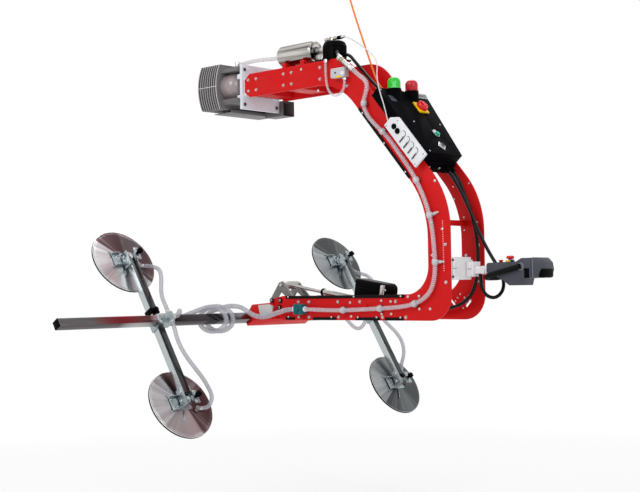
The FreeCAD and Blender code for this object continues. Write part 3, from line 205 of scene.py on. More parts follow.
def cableSkin(name, colour, rough):
    coat = {"cloud": (35, 4, 0.8, 1.15), "gloss": (90, 3, 0.15), "relief": (260, 2, 0.0004)}
    return coated(Finish(name, {"Specular IOR Level": 0.2}), colour, rough, 0.08, coat)


def drawn(name, colour, rough, placed, stretch, streak, reflectionContrast=1.0):
    # metal with drawing or grinding lines that run along one local axis; with a high contrast the lines
    # become painted reflection bands of light and dark
    f = Finish(name, {"Metallic": 1.0})
    lines = 0.5 + reflectionContrast * (f.noise(1, 4, f.local(placed, stretch)) - 0.5)
    f.give("Base Color", f.tint(lines, colour, 1 - streak, 1 + streak))
    f.give("Roughness", rough + 0.25 / reflectionContrast * (lines - 0.5))
    f.give("Normal", f.bump(lines, 0.12 / reflectionContrast, 0.0002))
    return f.material


# painted reflections along the beam, one copy for the upper faces and one for the lower: bands give the
# middle along the beam, half length and colour of what a stretch mirrors
beamReflectionLooks = {
    "beamUpperReflections": {"plain": (0.115, 0.106, 0.109), "dark": (0.048, 0.0416, 0.0448), "streak": 0.55, "bands": (
        (-0.94, 0.18, (0.166, 0.0179, 0.023)), (-0.735, 0.05, (0.448, 0.397, 0.422)),
        (-0.19, 0.09, (0.192, 0.179, 0.192)))},
    "beamLowerReflections": {"plain": (0.102, 0.0928, 0.096), "dark": (0.064, 0.0576, 0.0608), "streak": 0.45, "bands": (
        (-0.855, 0.11, (0.397, 0.384, 0.384)), (-0.19, 0.12, (0.192, 0.179, 0.186)))}}
# from here along the beam its colour turns to a painted dark reflection
beamDarkReflectionFrom = -0.64


def reflectionPaintedTube(name):
    # bright drawn tube with painted reflections in its colour: stretches along it take the colours of what
    # stands around, and it turns darker beyond one point
    look = beamReflectionLooks[name]
    f = Finish(name, {"Metallic": 1.0})
    lines = f.noise(1, 4, f.local(headPlace, (90, 3, 90)))
    along = f.node("ShaderNodeSeparateXYZ", {}, {0: f.local(headPlace)}, "Y")
    colour = f.mix(along > beamDarkReflectionFrom, shade(look["plain"]), shade(look["dark"]))
    for middle, half, paintedLight in look["bands"]:
        offset = (along - middle) * (1 / half)
        colour = f.mix(f.maths("MAXIMUM", 1 - offset * offset), colour, shade(paintedLight))
    streaks = f.tint(lines, (1, 1, 1), 1 - look["streak"], 1 + look["streak"])
    f.give("Base Color", f.product(colour, streaks))
    f.give("Roughness", 0.18 + 0.2 * (lines - 0.5))
    f.give("Normal", f.bump(lines, 0.12, 0.0002))
    return f.material


# painted reflections of the discs: dark and bright tones for each arm, the near ones reddish from the red
# frame they mirror, the fan's turn on each disc, and the shares of painted light
discReflectionLook = {"near": {"dark": (0.0992, 0.0589, 0.0627), "bright": (0.74, 0.755, 0.775)},
            "far": {"dark": (0.064, 0.0672, 0.0704), "bright": (0.422, 0.448, 0.461)},
            "rough": 0.32, "edge": 0.1715, "reflectionSplitTurn": 2.62,
            "reflectionFanTurn": {"near_upper": 3.8, "near_lower": 3.1, "far_upper": 4.0, "far_lower": 2.5},
            "light": {"plain": 0.30, "reflectionFan": 0.40, "reflectionSplit": 0.24, "rays": 1.8, "rings": 0.25, "edge": 0.6}}


def turnedSteelPaintedReflection(disc, reflectionTones, centre):
    # disc ground in a lathe: fine rings, and a painted reflection in the base colour: a fan of light and dark
    # lobes with rays and a brighter rim, turned for each disc
    share = discReflectionLook["light"]
    f = Finish(disc + "Steel", {"Metallic": 1.0})
    sideways = f.node("ShaderNodeSeparateXYZ", {}, {0: f.local(headPlace @ Matrix.Translation(centre))}, "Y")
    upward = Signal(f, sideways.socket.node.outputs["Z"])
    radius = (sideways * sideways + upward * upward) ** 0.5
    angle = f.maths("ARCTAN2", upward, sideways)
    rings = f.streaks(radius, 900, 2)
    reflectionFan = f.maths("COSINE", angle - discReflectionLook["reflectionFanTurn"][disc])
    reflectionSplit = f.maths("COSINE", angle * 3 - discReflectionLook["reflectionSplitTurn"])
    rays = f.streaks(reflectionFan + 0.4 * reflectionSplit, 2.6, 4)
    light = share["plain"] + share["reflectionFan"] * reflectionFan + share["reflectionSplit"] * reflectionSplit + share["rays"] * (rays - 0.5)
    light = light + share["rings"] * (rings - 0.5) + share["edge"] * (radius > discReflectionLook["edge"])
    f.give("Base Color", f.mix(light, shade(reflectionTones["dark"]), shade(reflectionTones["bright"])))
    f.give("Roughness", discReflectionLook["rough"] + 0.12 * (rings - 0.5))
    f.give("Normal", f.bump(rings, 0.10, 0.0002))
    return f.material


def clearHose(name, clear, rib, body):
    # soft clear hose with a stiff white spiral: the spiral is an attribute of the tube
    f = Finish(name, {"Specular IOR Level": 0.6})
    spiral = f.node("ShaderNodeAttribute", {"attribute_name": "spiral"}, {}, "Fac")
    f.give("Base Color", f.mix(spiral, shade(clear), shade(rib)))
    f.give("Alpha", body + 0.38 * spiral)
    f.give("Roughness", 0.2 + 0.15 * f.noise(40))
    return f.material


def lens(name, colour, paintedLight):
    # coloured lamp cover with a painted glow: emission that stands in for the bright middle and highlights of
    # the lens
    f = Finish(name, {"Specular IOR Level": 0.4, "Roughness": 0.12, "Emission Strength": paintedLight})
    f.give("Base Color", f.tint(f.noise(26, 3), colour, 0.8, 1.1))
    f.give("Emission Color", f.tint(f.noise(38, 2), colour, 0.5, 1.3))
    f.give("Alpha", 0.90 + 0.2 * (f.noise(30) - 0.5))
    return f.material


red = painted("redPaint", (0.585, 0.0085, 0.0095), 0.36, 0.10, 0.05)
blackPaint = painted("blackPaint", (0.0020, 0.0019, 0.0028), 0.5, 0.012, 0.10)
flangePaint = painted("flangePaint", (0.72, 0.76, 0.82), 0.4, 0.3, 0.08)
platePale = painted("platePale", (0.56, 0.55, 0.55), 0.4, 0.4, 0.05)
# darker copy of the cast grey, used as painted shade in the gaps between the fins
finGapShade = painted("finGapShade", (0.13, 0.122, 0.127), 0.5, 0.3, 0.2)
trayGrey = painted("trayGrey", (0.14, 0.132, 0.136), 0.45, 0.3, 0.15)
greyPaint = painted("greyPaint", (0.50, 0.51, 0.54), 0.42, 0.3, 0.08)
castGrey = painted("castGrey", (0.32, 0.305, 0.31), 0.4, 0.5, 0.25)
blackPlastic = moulded("blackPlastic", (0.0018, 0.0018, 0.0022), 0.34, 0.08, 0.025)
rubber = moulded("rubber", (0.004, 0.004, 0.0042), 0.6, 0.2, 0.08)
darkGrey = moulded("darkGrey", (0.052, 0.055, 0.072), 0.45, 0.15)
midGrey = moulded("midGrey", (0.16, 0.165, 0.19), 0.4, 0.1)
whitePlastic = moulded("whitePlastic", (0.74, 0.75, 0.78), 0.4, 0.06)
yellow = moulded("yellow", (0.88, 0.60, 0.0), 0.35, 0.05)
redPlastic = moulded("redPlastic", (0.72, 0.010, 0.010), 0.25, 0.04, 0.4)
darkRed = moulded("darkRed", (0.16, 0.006, 0.010), 0.4, 0.04)
paleRed = moulded("paleRed", (0.86, 0.36, 0.36), 0.5, 0.04)
bluePlastic = moulded("bluePlastic", (0.01, 0.10, 0.36), 0.3, 0.04)
greenPlastic = moulded("greenPlastic", (0.0, 0.46, 0.31), 0.3, 0.04)
teal = moulded("teal", (0.0, 0.11, 0.13), 0.4, 0.08)
zinc = plated("zinc", (0.333, 0.384, 0.403), 0.32, 0.22)
leverSteel = plated("leverSteel", (0.192, 0.182, 0.179), 0.4, 0.12)
boltSteel = plated("boltSteel", (0.55, 0.544, 0.538), 0.28, 0.08)
paleSteel = plated("paleSteel", (0.589, 0.589, 0.589), 0.4, 0.04)
darkSteel = plated("darkSteel", (0.0768, 0.0768, 0.0864), 0.35, 0.2)
brass = plated("brass", (0.448, 0.346, 0.192), 0.3, 0.12)
barrelPaint = painted("barrelPaint", (0.28, 0.232, 0.236), 0.24, 0.8, 0.05)
# the tank's bands of light and dark round it are painted reflections
polished = drawn("polished", (0.358, 0.339, 0.32), 0.15, upright, (2.0, 40, 40), 0.75, 3.5)
rodSteel = drawn("rodSteel", (0.422, 0.41, 0.397), 0.2, actuatorPlace, (6, 200, 200), 0.15)
beamUpperReflections = reflectionPaintedTube("beamUpperReflections")
beamLowerReflections = reflectionPaintedTube("beamLowerReflections")
armSteel = drawn("armSteel", (0.474, 0.512, 0.518), 0.26, headPlace, (90, 90, 3), 0.2)
armDark = drawn("armDark", (0.064, 0.0704, 0.0717), 0.2, headPlace, (90, 90, 3), 0.6)
aluminium = painted("aluminium", (0.72, 0.70, 0.72), 0.25, 0.8, 0.05)
hoseSkin = clearHose("hoseSkin", (0.42, 0.41, 0.46), (0.84, 0.80, 0.86), 0.30)
freeSkin = clearHose("freeSkin", (0.27, 0.27, 0.32), (0.60, 0.60, 0.66), 0.46)
clipSkin = Finish("clipSkin", {"Base Color": (0.72, 0.70, 0.72, 1), "Roughness": 0.3, "Alpha": 0.62}).material
greenLens = lens("greenLens", (0.005, 0.42, 0.02), 0.35)
redLens = lens("redLens", (0.50, 0.0, 0.012), 0.15)
# bulb that glows as painted light inside the green lens
bulbPaintedGlow = Finish("bulbPaintedGlow", {"Base Color": (0.9, 1, 0.9, 1), "Emission Color": (0.8, 1, 0.8, 1),
                               "Emission Strength": 1.2}).material
blackCable = cableSkin("blackCable", (0.0022, 0.0022, 0.0026), 0.22)
orangeCable = cableSkin("orangeCable", (0.85, 0.20, 0.03), 0.45)
whiteWire = cableSkin("whiteWire", (0.66, 0.66, 0.66), 0.45)
print("finishes:", len(bpy.data.materials))


# Pieces

def seat(piece, bodies, replaced):
    # puts a finished piece in the scene, on its body, or with its place baked into the mesh when it spans two
    if piece.name not in bpy.context.scene.collection.objects:
        bpy.context.scene.collection.objects.link(piece)
    if len(bodies) == 2:
        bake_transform(piece)
    else:
        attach(piece, bodies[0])
    if replaced:
        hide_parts(*replaced)
    return piece


def meshPiece(name, bm, finishes, smoothAngle=32):
    mesh = bpy.data.meshes.new(name)
    bm.to_mesh(mesh)
    bm.free()
    for finish in finishes:
        mesh.materials.append(finish)
    mesh.shade_smooth()
    mesh.set_sharp_from_angle(angle=math.radians(smoothAngle))
    return bpy.data.objects.new(name, mesh)


def islands(bm):
    # the separate solids of a mesh, as lists of faces
    left = set(bm.faces)
    found = []
    while left:
        stack = [left.pop()]
        solid = []
        while stack:
            face = stack.pop()
            solid.append(face)
            for edge in face.edges:
                near = [f for f in edge.link_faces if f in left]
                left.difference_update(near)
                stack.extend(near)
        found.append(solid)
    return found


def solidBoxes(node):
    # lowest and highest corner of each solid of a CAD node
    bm = bmesh.new()
    bm.from_mesh(nodes[node].data)
    bmesh.ops.remove_doubles(bm, verts=bm.verts, dist=1e-6)
    boxes = []
    for solid in islands(bm):
        places = [v.co for f in solid for v in f.verts]
        low = Vector(min(p[i] for p in places) for i in range(3))
        high = Vector(max(p[i] for p in places) for i in range(3))
        boxes.append((low, high))
    bm.free()
    return boxes


def dress(node, width, *finishes, choose=None, placed=upright, bySolid=True):
    # copy of a CAD node with its edges broken; choose picks a finish by where a solid or face lies
    bm = bmesh.new()
    bm.from_mesh(nodes[node].data)
    bmesh.ops.remove_doubles(bm, verts=bm.verts, dist=1e-6)
    bmesh.ops.dissolve_limit(bm, angle_limit=math.radians(0.5), verts=bm.verts, edges=bm.edges)
    sharp = [e for e in bm.edges if len(e.link_faces) == 2 and e.calc_face_angle(0) > math.radians(35)]
    bmesh.ops.bevel(bm, geom=sharp, offset=width, offset_type="OFFSET", affect="EDGES", segments=2,
                    profile=0.5, material=-1, clamp_overlap=True)
    if choose:
        seen = placed.inverted()
        for solid in islands(bm) if bySolid else [[f] for f in bm.faces]:
            middle = sum((f.calc_center_median() for f in solid), Vector()) / len(solid)
            for face in solid:
                face.material_index = choose(seen @ middle)
    piece = meshPiece(node + ".dressed", bm, finishes)
    return seat(piece, [bodyOf[node]], [node])


# Cords: the routes are the solids' own points

hoseY = -0.144
tankY, tankZ = -0.076, -0.010
feedZ = -1.269
coil = {"radius": 0.061, "pitch": 0.045, "lean": 0.045, "start": -0.412, "lead": (0.026, 0.022),
        "draw": (2.5, 1.6), "stub": 0.024}
arms = {"near": {"y": -0.699, "inward": 1, "hoses": {"upper": 0.440, "lower": 0.526}},
        "far": {"y": 0.830, "inward": -1, "hoses": {"upper": 0.412, "lower": 0.412}}}
levels = {"upper": 1, "lower": -1}
discReach = 0.400                                     # disc centre from the beam's axis
teeN, teeOut, teeStub = 0.0381, 0.019, 0.015          # hose tee: over the beam, off the arm, its stub
elbowN = -0.0728


def metres(points):
    # routes are written in millimetres
    return [tuple(value / 1000 for value in point) for point in points]


def stepped(origin, steps):
    # points given as steps from an origin
    return [tuple(o + s for o, s in zip(origin, step)) for step in metres(steps)]


mainRoute = [(x, hoseY, z) for x, z in metres((
    (417.2, -150.2), (454.4, -180), (489, -203), (503, -229), (495, -262), (480, -294), (479, -332),
    (508, -381), (561, -430), (622, -480), (688, -560), (763, -652), (810, -731), (846, -806), (873, -898),
    (886, -1015), (888, -1108), (866, -1186), (806, -1234), (722, -1256), (615, -1264), (500, -1269),
    (385, -1273), (270, -1275), (165, -1272), (74, -1269)))]
pumpRoute = stepped((0, tankY, tankZ), (
    (-142.3, 0, 0), (-193, 0, 0), (-250, -6, 6), (-340, -12, 6), (-392, -14, 0), (-427.7, -14, 0)))
loopRoute = stepped((0, hoseY, 0), (
    (360, 0, -189.3), (360, 0, -207.3), (354, 0, -231.3), (334, 0, -251.3), (302, 0, -259.3),
    (270, 0, -245.3), (248, 0, -213.3), (240, 0, -165.3), (239, -1, -113.3), (239, 0, -75.3)))
glandEnd, glandLead = 0.738, 0.783
handsetRoute = [onSlope(glandEnd, -0.022, 0.048), onSlope(glandLead, -0.022, 0.048), *metres((
    (878, 62, -735), (914, 70, -812), (944, 80, -890), (974, 90, -962), (1010, 97, -1028), (1048, 99, -1082),
    (1080, 92, -1128), (1099, 76, -1172), (1098, 54, -1206), (1079, 32, -1225), (1054, 10, -1216),
    (1039, -3, -1188), (1034, -7, -1154), (1034, -8, -1115.8)))]
driveRoute = [onSlope(glandEnd, -0.022, 0.084), onSlope(glandLead, -0.022, 0.084), *metres((
    (882, 92, -760), (914, 98, -850), (936, 98, -945), (944, 97, -1045), (936, 95, -1140), (906, 93, -1210),
    (852, 91, -1252), (780, 90, -1270), (700, 91, -1277), (620, 92, -1280), (536.3, 92, -1280)))]
filterRoute = [*metres((
    (274.9, -56, -48), (310, -56, -48), (350, -58, -90), (396, -62, -134), (444, -68, -180), (492, -74, -222),
    (534, -80, -254))), onSlope(0.274, 0.024, -0.084)]
sensorRoute = [*metres((
    (284.8, -56, 39), (325, -60, 24), (374, -66, -3), (429, -76, -38), (485, -90, -72), (528, -108, -109),
    (552, -126, -145), (563, -143, -182), (580, -158, -229), (601, -166, -281), (626, -168, -338))),
    onSlope(0.4446, -0.004, -0.163)]
supplyRoute = [onSlope(0.296, -0.015, 0), onSlope(0.256, -0.015, 0), *metres((
    (474, 0, -235), (438, 0, -192), (412, 0, -130), (378, 0, -44), (344, 0, 40), (308, 0, 132), (278, 0, 214),
    (266, 0, 250)))]


def coilSpot(angle, reach=1, lead=0):
    # a place on the loops round the beam, which lean along it
    a = math.radians(angle)
    x, z = headPlace.to_translation().xz
    along = coil["start"] + coil["pitch"] * (angle - firstTurn) / 360
    along += coil["lean"] * reach * math.sin(a) + lead
    return Vector((x + coil["radius"] * reach * math.sin(a), along, z + coil["radius"] * reach * math.cos(a)))


def coilHeading(angle, climb):
    a = math.radians(angle)
    return Vector((math.cos(a), climb, -math.sin(a))).normalized()


firstTurn, lastTurn, coilStep = -60, 720, 30
coilFirst = coilSpot(firstTurn, 1, -coil["lead"][0])
coilLast = coilSpot(lastTurn, 1, coil["lead"][1])
firstHeading = coilHeading(firstTurn, coil["draw"][0])
lastHeading = coilHeading(lastTurn, coil["draw"][1])
coilStart = coilFirst - firstHeading * coil["stub"]
coilEnd = coilLast + lastHeading * coil["stub"]
swell = 1 / math.cos(math.radians(coilStep / 2))    # control points stand outside the curve
coilRoute = [coilStart, coilFirst]
coilTurns = range(firstTurn + 2 * coilStep, lastTurn - coilStep, coilStep)
coilRoute += [coilSpot(angle, swell) for angle in coilTurns]
coilRoute += [coilLast, coilEnd]

endGap = 0.0003
nearTee = onHead(teeN, arms["near"]["y"] + teeOut + teeStub + endGap, 0)
nearFeedRoute = stepped(nearTee, ((0, 0, 0), (0, 28, 0), (-8, 50, 18), (-32, 72, 26), (-64, 92, 8)))
nearFeedRoute += [coilStart - firstHeading * 0.036, coilStart - firstHeading * endGap]
armFeedRoute = stepped((0, hoseY, feedZ), (
    (11.7, 0, 0), (-36, 0, 0), (-96, -20, -17), (-156, -28, -35), (-204, -37, -38), (-238, -53, -27),
    (-265, -66, -6)))
armFeedRoute += [coilEnd + lastHeading * 0.040, coilEnd + lastHeading * endGap]
farTee = onHead(teeN, arms["far"]["y"] - teeOut - teeStub - endGap, 0)
farFeedRoute = stepped(farTee, (
    (0, 0, 0), (0, -40, 0), (6, -78, -20), (15, -108, -57), (22, -141, -90), (24, -184, -101),
    (22, -224, -82), (14, -257, -46), (6, -296, -14), (1, -346, 1), (0, -400, 4), (-1, -456, 2)))
farFeedRoute.append((farTee.x - 0.001, 0.270 + endGap, farTee.z + 0.001))


def discRoute(arm, side):
    # from the tee on the beam clamp to the elbow of one disc
    y = arm["y"]
    teeY = y + teeOut * arm["inward"]
    start = [(teeN, teeY, side * 0.0223), (teeN, teeY, side * 0.062)]
    if arm["inward"] > 0:
        n, ey, c = -0.0742, y + 0.088, side * discReach - 0.040
        if side > 0:
            steps = (-4, 22, 112), (-12, 47, 167), (-28, 85, 222), (-52, 121, 272)
            bend = teeN - 0.078, n + 0.015
        else:
            steps = ((-1, 8, -115), (-2, 10, -169), (-8, 28, -223), (-18, 58, -272), (-32, 93, -316),
                     (-50, 122, -356))
            bend = teeN - 0.074, n + 0.017
        end = [(bend[0], ey + 0.061, c - side * 0.043), (bend[1], ey + 0.057, c - side * 0.017),
               (n + 0.004, ey + 0.042, c - side * 0.003), (n, ey + 0.024, c), (n, ey + endGap, c)]
    else:
        ey, c = y + 0.062, side * 0.374
        steps = (4, 8, side * 112), (2, 42, side * 160), (-14, 70, side * 210), (-44, 80, side * 260)
        end = [(elbowN + 0.016, y + 0.074, side * 0.306), (elbowN, ey, c - side * 0.030),
               (elbowN, ey, c - side * endGap)]
    return [onHead(*p) for p in start + stepped((teeN, y, 0), steps) + end]


def routeObject(name, route, thickness, fineness):
    curve = bpy.data.curves.new(name, "CURVE")
    curve.dimensions = "3D"
    curve.bevel_depth = thickness
    curve.bevel_resolution = 6
    curve.use_fill_caps = True
    spline = curve.splines.new("NURBS")
    spline.points.add(len(route) - 1)
    for point, place in zip(spline.points, route):
        point.co = (*place, 1)
    spline.order_u = 3
    spline.use_endpoint_u = True
    spline.resolution_u = fineness
    return bpy.data.objects.new(name, curve)


def splineLine(route, fineness):
    bare = routeObject("route", route, 0, fineness)
    mesh = bpy.data.meshes.new_from_object(bare)
    return [v.co.copy() for v in mesh.vertices]


spiralLook = {"pitch": 0.0085, "swell": 0.07, "fineness": 40}


def spiralTube(name, route, radius, skin):
    # tube along the route's spline, with the stiff spiral standing a little proud
    line = splineLine(route, spiralLook["fineness"])
    mesh = bpy.data.meshes.new_from_object(routeObject("route", route, radius, spiralLook["fineness"]))
    ringSize = len(mesh.vertices) // len(line)
    spiral = mesh.attributes.new("spiral", "FLOAT", "POINT")
    travelled = 0
    for i, middle in enumerate(line):
        travelled += (middle - line[i - 1]).length if i else 0
        for j in range(ringSize):
            vertex = mesh.vertices[i * ringSize + j]
            wave = 0.5 + 0.5 * math.cos(2 * math.pi * (travelled / spiralLook["pitch"] - j / ringSize))
            ends = i < 2 or i > len(line) - 3
            height = 0 if ends else spiralLook["swell"] * (wave ** 2 - 0.5)
            vertex.co = middle + (vertex.co - middle) * (1 + height)
            spiral.data[i * ringSize + j].value = wave ** 2
    mesh.materials.clear()
    mesh.materials.append(skin)
    mesh.shade_smooth()
    return bpy.data.objects.new(name, mesh), line


def hose(name, node, route, radius, bodies, declared=True):
    piece, line = spiralTube(name, route, radius, freeSkin if declared else hoseSkin)
    seat(piece, bodies, [node])
    if declared:
        tuple(route[0])
        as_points(line)


def cable(name, node, route, radius, finish, withPieces=()):
    piece = routeObject(name, route, radius, 12)
    piece.data.materials.append(finish)
    seat(piece, ["frame"], [node])
    tuple(route[0])


hose("mainHose", "main_hose", mainRoute, 0.010, ["frame"], declared=False)
hose("pumpHose", "pump_hoses", pumpRoute, 0.010, ["frame"], declared=False)
hose("filterLoop", "pump_hoses", loopRoute, 0.006, ["frame"], declared=False)
hose("armFeedHose", "arm_feed_hose", armFeedRoute, 0.012, ["frame", "head"])
hose("hoseCoil", "hose_coil", coilRoute, 0.012, ["head"])
hose("nearFeedHose", "near_feed_hose", nearFeedRoute[::-1], 0.012, ["head", "near_cross"])
hose("farFeedHose", "far_feed_hose", farFeedRoute[::-1], 0.010, ["head", "far_cross"])
for armName, arm in arms.items():
    for level, side in levels.items():
        hose(armName + level.title() + "Hose", armName + "_hoses", discRoute(arm, side), 0.010,
             [armName + "_cross", armName + "_" + level])
cable("handsetCable", "control_cables", handsetRoute, 0.008, blackCable)
cable("driveCable", "control_cables", driveRoute, 0.008, blackCable)
cable("filterCable", "control_cables", filterRoute, 0.008, blackCable)
cable("sensorWire", "control_cables", sensorRoute, 0.0025, whiteWire)
print("cords placed")


# Dressed solids

def lathe(bm, outline, foot, heading, steps, finish=0):
    # (radius, height) outline spun about an axis; open ends are closed on the axis
    points = [(0, outline[0][1]), *outline, (0, outline[-1][1])]
    verts = [bm.verts.new((r, 0, h)) for r, h in points]
    edges = [bm.edges.new(pair) for pair in zip(verts, verts[1:])]
    bmesh.ops.spin(bm, geom=verts + edges, cent=(0, 0, 0), axis=(0, 0, 1), angle=2 * math.pi, steps=steps,
                   use_merge=True)
    mine = set(verts)
    reach = list(verts)
    while reach:
        for edge in reach.pop().link_edges:
            for vertex in edge.verts:
                if vertex not in mine:
                    mine.add(vertex)
                    reach.append(vertex)
    bmesh.ops.remove_doubles(bm, verts=list(mine), dist=1e-6)
    kept = [v for v in mine if v.is_valid]
    faces = {f for v in kept for f in v.link_faces}
    bmesh.ops.recalc_face_normals(bm, faces=list(faces))
    for face in faces:
        face.material_index = finish
    turn = Vector((0, 0, 1)).rotation_difference(heading).to_matrix().to_4x4()
    bmesh.ops.transform(bm, matrix=Matrix.Translation(foot) @ turn, verts=kept)
    return kept


def block(bm, place, low, high, width, finish=0):
    # box between two corners of a placed frame, with its edges broken
    low, high = Vector(low), Vector(high)
    verts = bmesh.ops.create_cube(bm, size=1)["verts"]
    sized = Matrix.Translation((low + high) / 2) @ Matrix.Diagonal((*(high - low), 1))
    bmesh.ops.transform(bm, matrix=place @ sized, verts=verts)
    edges = list({e for v in verts for e in v.link_edges})
    rounded = bmesh.ops.bevel(bm, geom=edges, offset=width, offset_type="OFFSET", affect="EDGES", segments=2,
                              profile=0.5, material=-1, clamp_overlap=True)
    for face in {f for v in rounded["verts"] for f in v.link_faces}:
        face.material_index = finish


def rod(bm, radius, length, foot, heading, steps, finish=0):
    lathe(bm, ((radius, 0), (radius, length)), foot, heading, steps, finish)


def trim(name, like, bm, *finishes, instead=False):
    # small parts that move with a CAD node, beside it or in its place
    return seat(meshPiece(name, bm, finishes), [bodyOf[like]], [like] if instead else [])


def supplyEnds():
    # plug at the lead's top and gland at the box
    top, below = Vector(supplyRoute[-1]), Vector(supplyRoute[-2])
    along = (top - below).normalized()
    look = {"supplyPlug": (top - along * 0.022, along, (
                (0.0055, 0), (0.0075, 0.002), (0.0085, 0.018), (0.0135, 0.022), (0.015, 0.025),
                (0.015, 0.060), (0.0125, 0.066))),
            "supplyGland": (onSlope(0.324, -0.015, 0), -slopePlace.to_3x3().col[0], (
                (0.0095, 0), (0.0095, 0.012), (0.0085, 0.013), (0.0085, 0.020), (0.0065, 0.028)))}
    made = []
    for name, (foot, heading, outline) in look.items():
        bm = bmesh.new()
        lathe(bm, outline, foot, heading, 24)
        made.append(trim(name, "supply_cable", bm, blackPlastic, instead=True))
    return made


cable("supplyLead", "supply_cable", supplyRoute, 0.0045, orangeCable, supplyEnds())

# node, broken edge and finish of each piece that has a single finish
for node, width, finish in (
        ("front_side_plate", 0.0014, red), ("rear_side_plate", 0.0014, red), ("frame_spacers", 0.0008, red),
        ("edge_strips", 0.0012, rubber), ("lifting_lug", 0.0025, red), ("pump_flange", 0.0015, flangePaint),
        ("vacuum_tank", 0.001, polished), ("tank_saddles", 0.0008, red),
        ("filter_housing", 0.0015, blackPlastic), ("hose_clips", 0.0006, zinc),
        ("control_box", 0.002, blackPaint), ("control_lid", 0.0015, blackPaint),
        ("green_beacon", 0.001, greenLens), ("red_beacon", 0.001, redLens),
        ("cable_glands", 0.001, blackPlastic), ("socket_panel", 0.001, whitePlastic),
        ("handset_bracket", 0.0012, aluminium), ("handset_body", 0.004, darkGrey),
        ("handset_loop", 0.001, rubber), ("tilt_bearings", 0.0012, rubber),
        ("start_button", 0.001, greenPlastic), ("estop_button", 0.001, redPlastic),
        ("red_button", 0.0008, redPlastic), ("blue_button", 0.0008, bluePlastic),
        ("tilt_shaft", 0.001, boltSteel), ("cradle", 0.0014, red), ("beam_caps", 0.0015, blackPlastic),
        ("actuator_rod", 0.001, rodSteel)):
    dress(node, width, finish)

fins = {"start": -0.635, "end": -0.493, "pitch": 0.017, "thick": 0.006, "edge": 0.0004}
trayBox = -0.345                                      # where the tray's dark box begins
actuatorTube = (0.2505, 0.482)                        # bare stretch between the actuator's collar and hood


def pumpFinishWithShade(p):
    # fin rims in the cast grey, the fin faces in the gaps in a darker copy as painted shade, the last fin
    # palest as a painted highlight; dark bands over and under the drum
    if p.x > fins["end"] - fins["edge"]:
        return 2
    if p.x > fins["end"] - fins["thick"]:
        return 3
    onEdge = fins["edge"] < (p.x - fins["start"]) % fins["pitch"] < fins["thick"] - fins["edge"]
    return 0 if onEdge or p.x < fins["start"] + fins["edge"] else 1


def fittingFinish(p):
    # shut-off block on the lower arm, valve block on the plate, and the bare fittings
    if p.z < -1:
        return 2
    return 1 if p.y < -0.138 and p.z < -0.1 else 0


def bezelFinish(p):
    # blank plate, yellow plates, and the steel bezels
    if p.y > 0.09:
        return 1
    return 0 if p.x > 1 or p.y > 0.05 else 2


dress("pump_housing", 0.0012, castGrey, finGapShade, trayGrey, platePale, choose=pumpFinishWithShade, bySolid=False)
dress("pump_tray", 0.001, blackPaint, trayGrey, choose=lambda p: int(p.x < trayBox), bySolid=False)
dress("air_fittings", 0.0012, boltSteel, greyPaint, teal, choose=fittingFinish)
dress("panel_bezels", 0.001, yellow, greyPaint, boltSteel, choose=bezelFinish)
dress("tilt_levers", 0.0012, leverSteel, platePale, choose=lambda p: int(abs(p.y) > 0.1))
# the lower faces take their own copy of the painted reflections
dress("main_beam", 0.0028, beamUpperReflections, beamLowerReflections, choose=lambda p: int(p.z < -0.0185), placed=headPlace,
      bySolid=False)
dress("actuator_body", 0.0015, blackPlastic, rodSteel, placed=actuatorPlace, bySolid=False,
      choose=lambda p: int(actuatorTube[0] < p.x < actuatorTube[1]))


def bracketFinish(arm):
    # black strap on the arm and black knobs on the forks
    def choose(p):
        onKnob = p.x > -0.0190 and abs(abs(p.z) - discReach) < 0.0150 and p.y > arm["y"] + 0.021
        return int(0.057 < p.z < 0.087 or onKnob)
    return choose


for armName, arm in arms.items():
    dress(armName + "_cross_arm", 0.0028, armSteel, armDark, choose=lambda p: int(p.x > -0.0265),
          placed=headPlace, bySolid=False)
    dress(armName + "_brackets", 0.001, zinc, blackPlastic, choose=bracketFinish(arm), placed=headPlace,
          bySolid=False)
    for level, side in levels.items():
        disc = armName + "_" + level
        steel = turnedSteelPaintedReflection(disc, discReflectionLook[armName], (0, arm["y"], side * discReach))
        dress(disc + "_disc", 0.0006, steel, boltSteel, choose=lambda p: int(p.x > -0.0795), placed=headPlace,
              bySolid=False)
        dress(disc + "_seal", 0.001, rubber, steel, choose=lambda p: int(p.x > -0.0953), placed=headPlace,
              bySolid=False)
print("solids dressed")


# Small parts that only show in the picture: each function fills the mesh of one piece

outward = {"near": Vector((0, -1, 0)), "far": Vector((0, 1, 0)), "front": Vector((1, 0, 0)),
           "up": Vector((0, 0, 1)), "slope": slopePlace.to_3x3().col[2], "head": headPlace.to_3x3().col[0]}
sides = ((-1, outward["near"]), (1, outward["far"]))
lidFace = 0.052                                       # control lid, out of the slope
panelFace = -0.168                                    # socket panel's face, along Y
plateFace, plateInner, stripFace, washerFace = 0.126, 0.118, 0.131, 0.1305
keySpot = (0.650, 0.004)                              # along the slope, and Y
switchSpot = (0.392, 0.062)


def screws(bm, places, heading, radius, finish=0):
    # domed socket heads standing on a face
    share = ((1, 0), (1, 0.3), (0.78, 0.58), (0.45, 0.66), (0.4, 0.35))
    for place in places:
        lathe(bm, [(r * radius, h * radius) for r, h in share], Vector(place), heading, 12, finish)


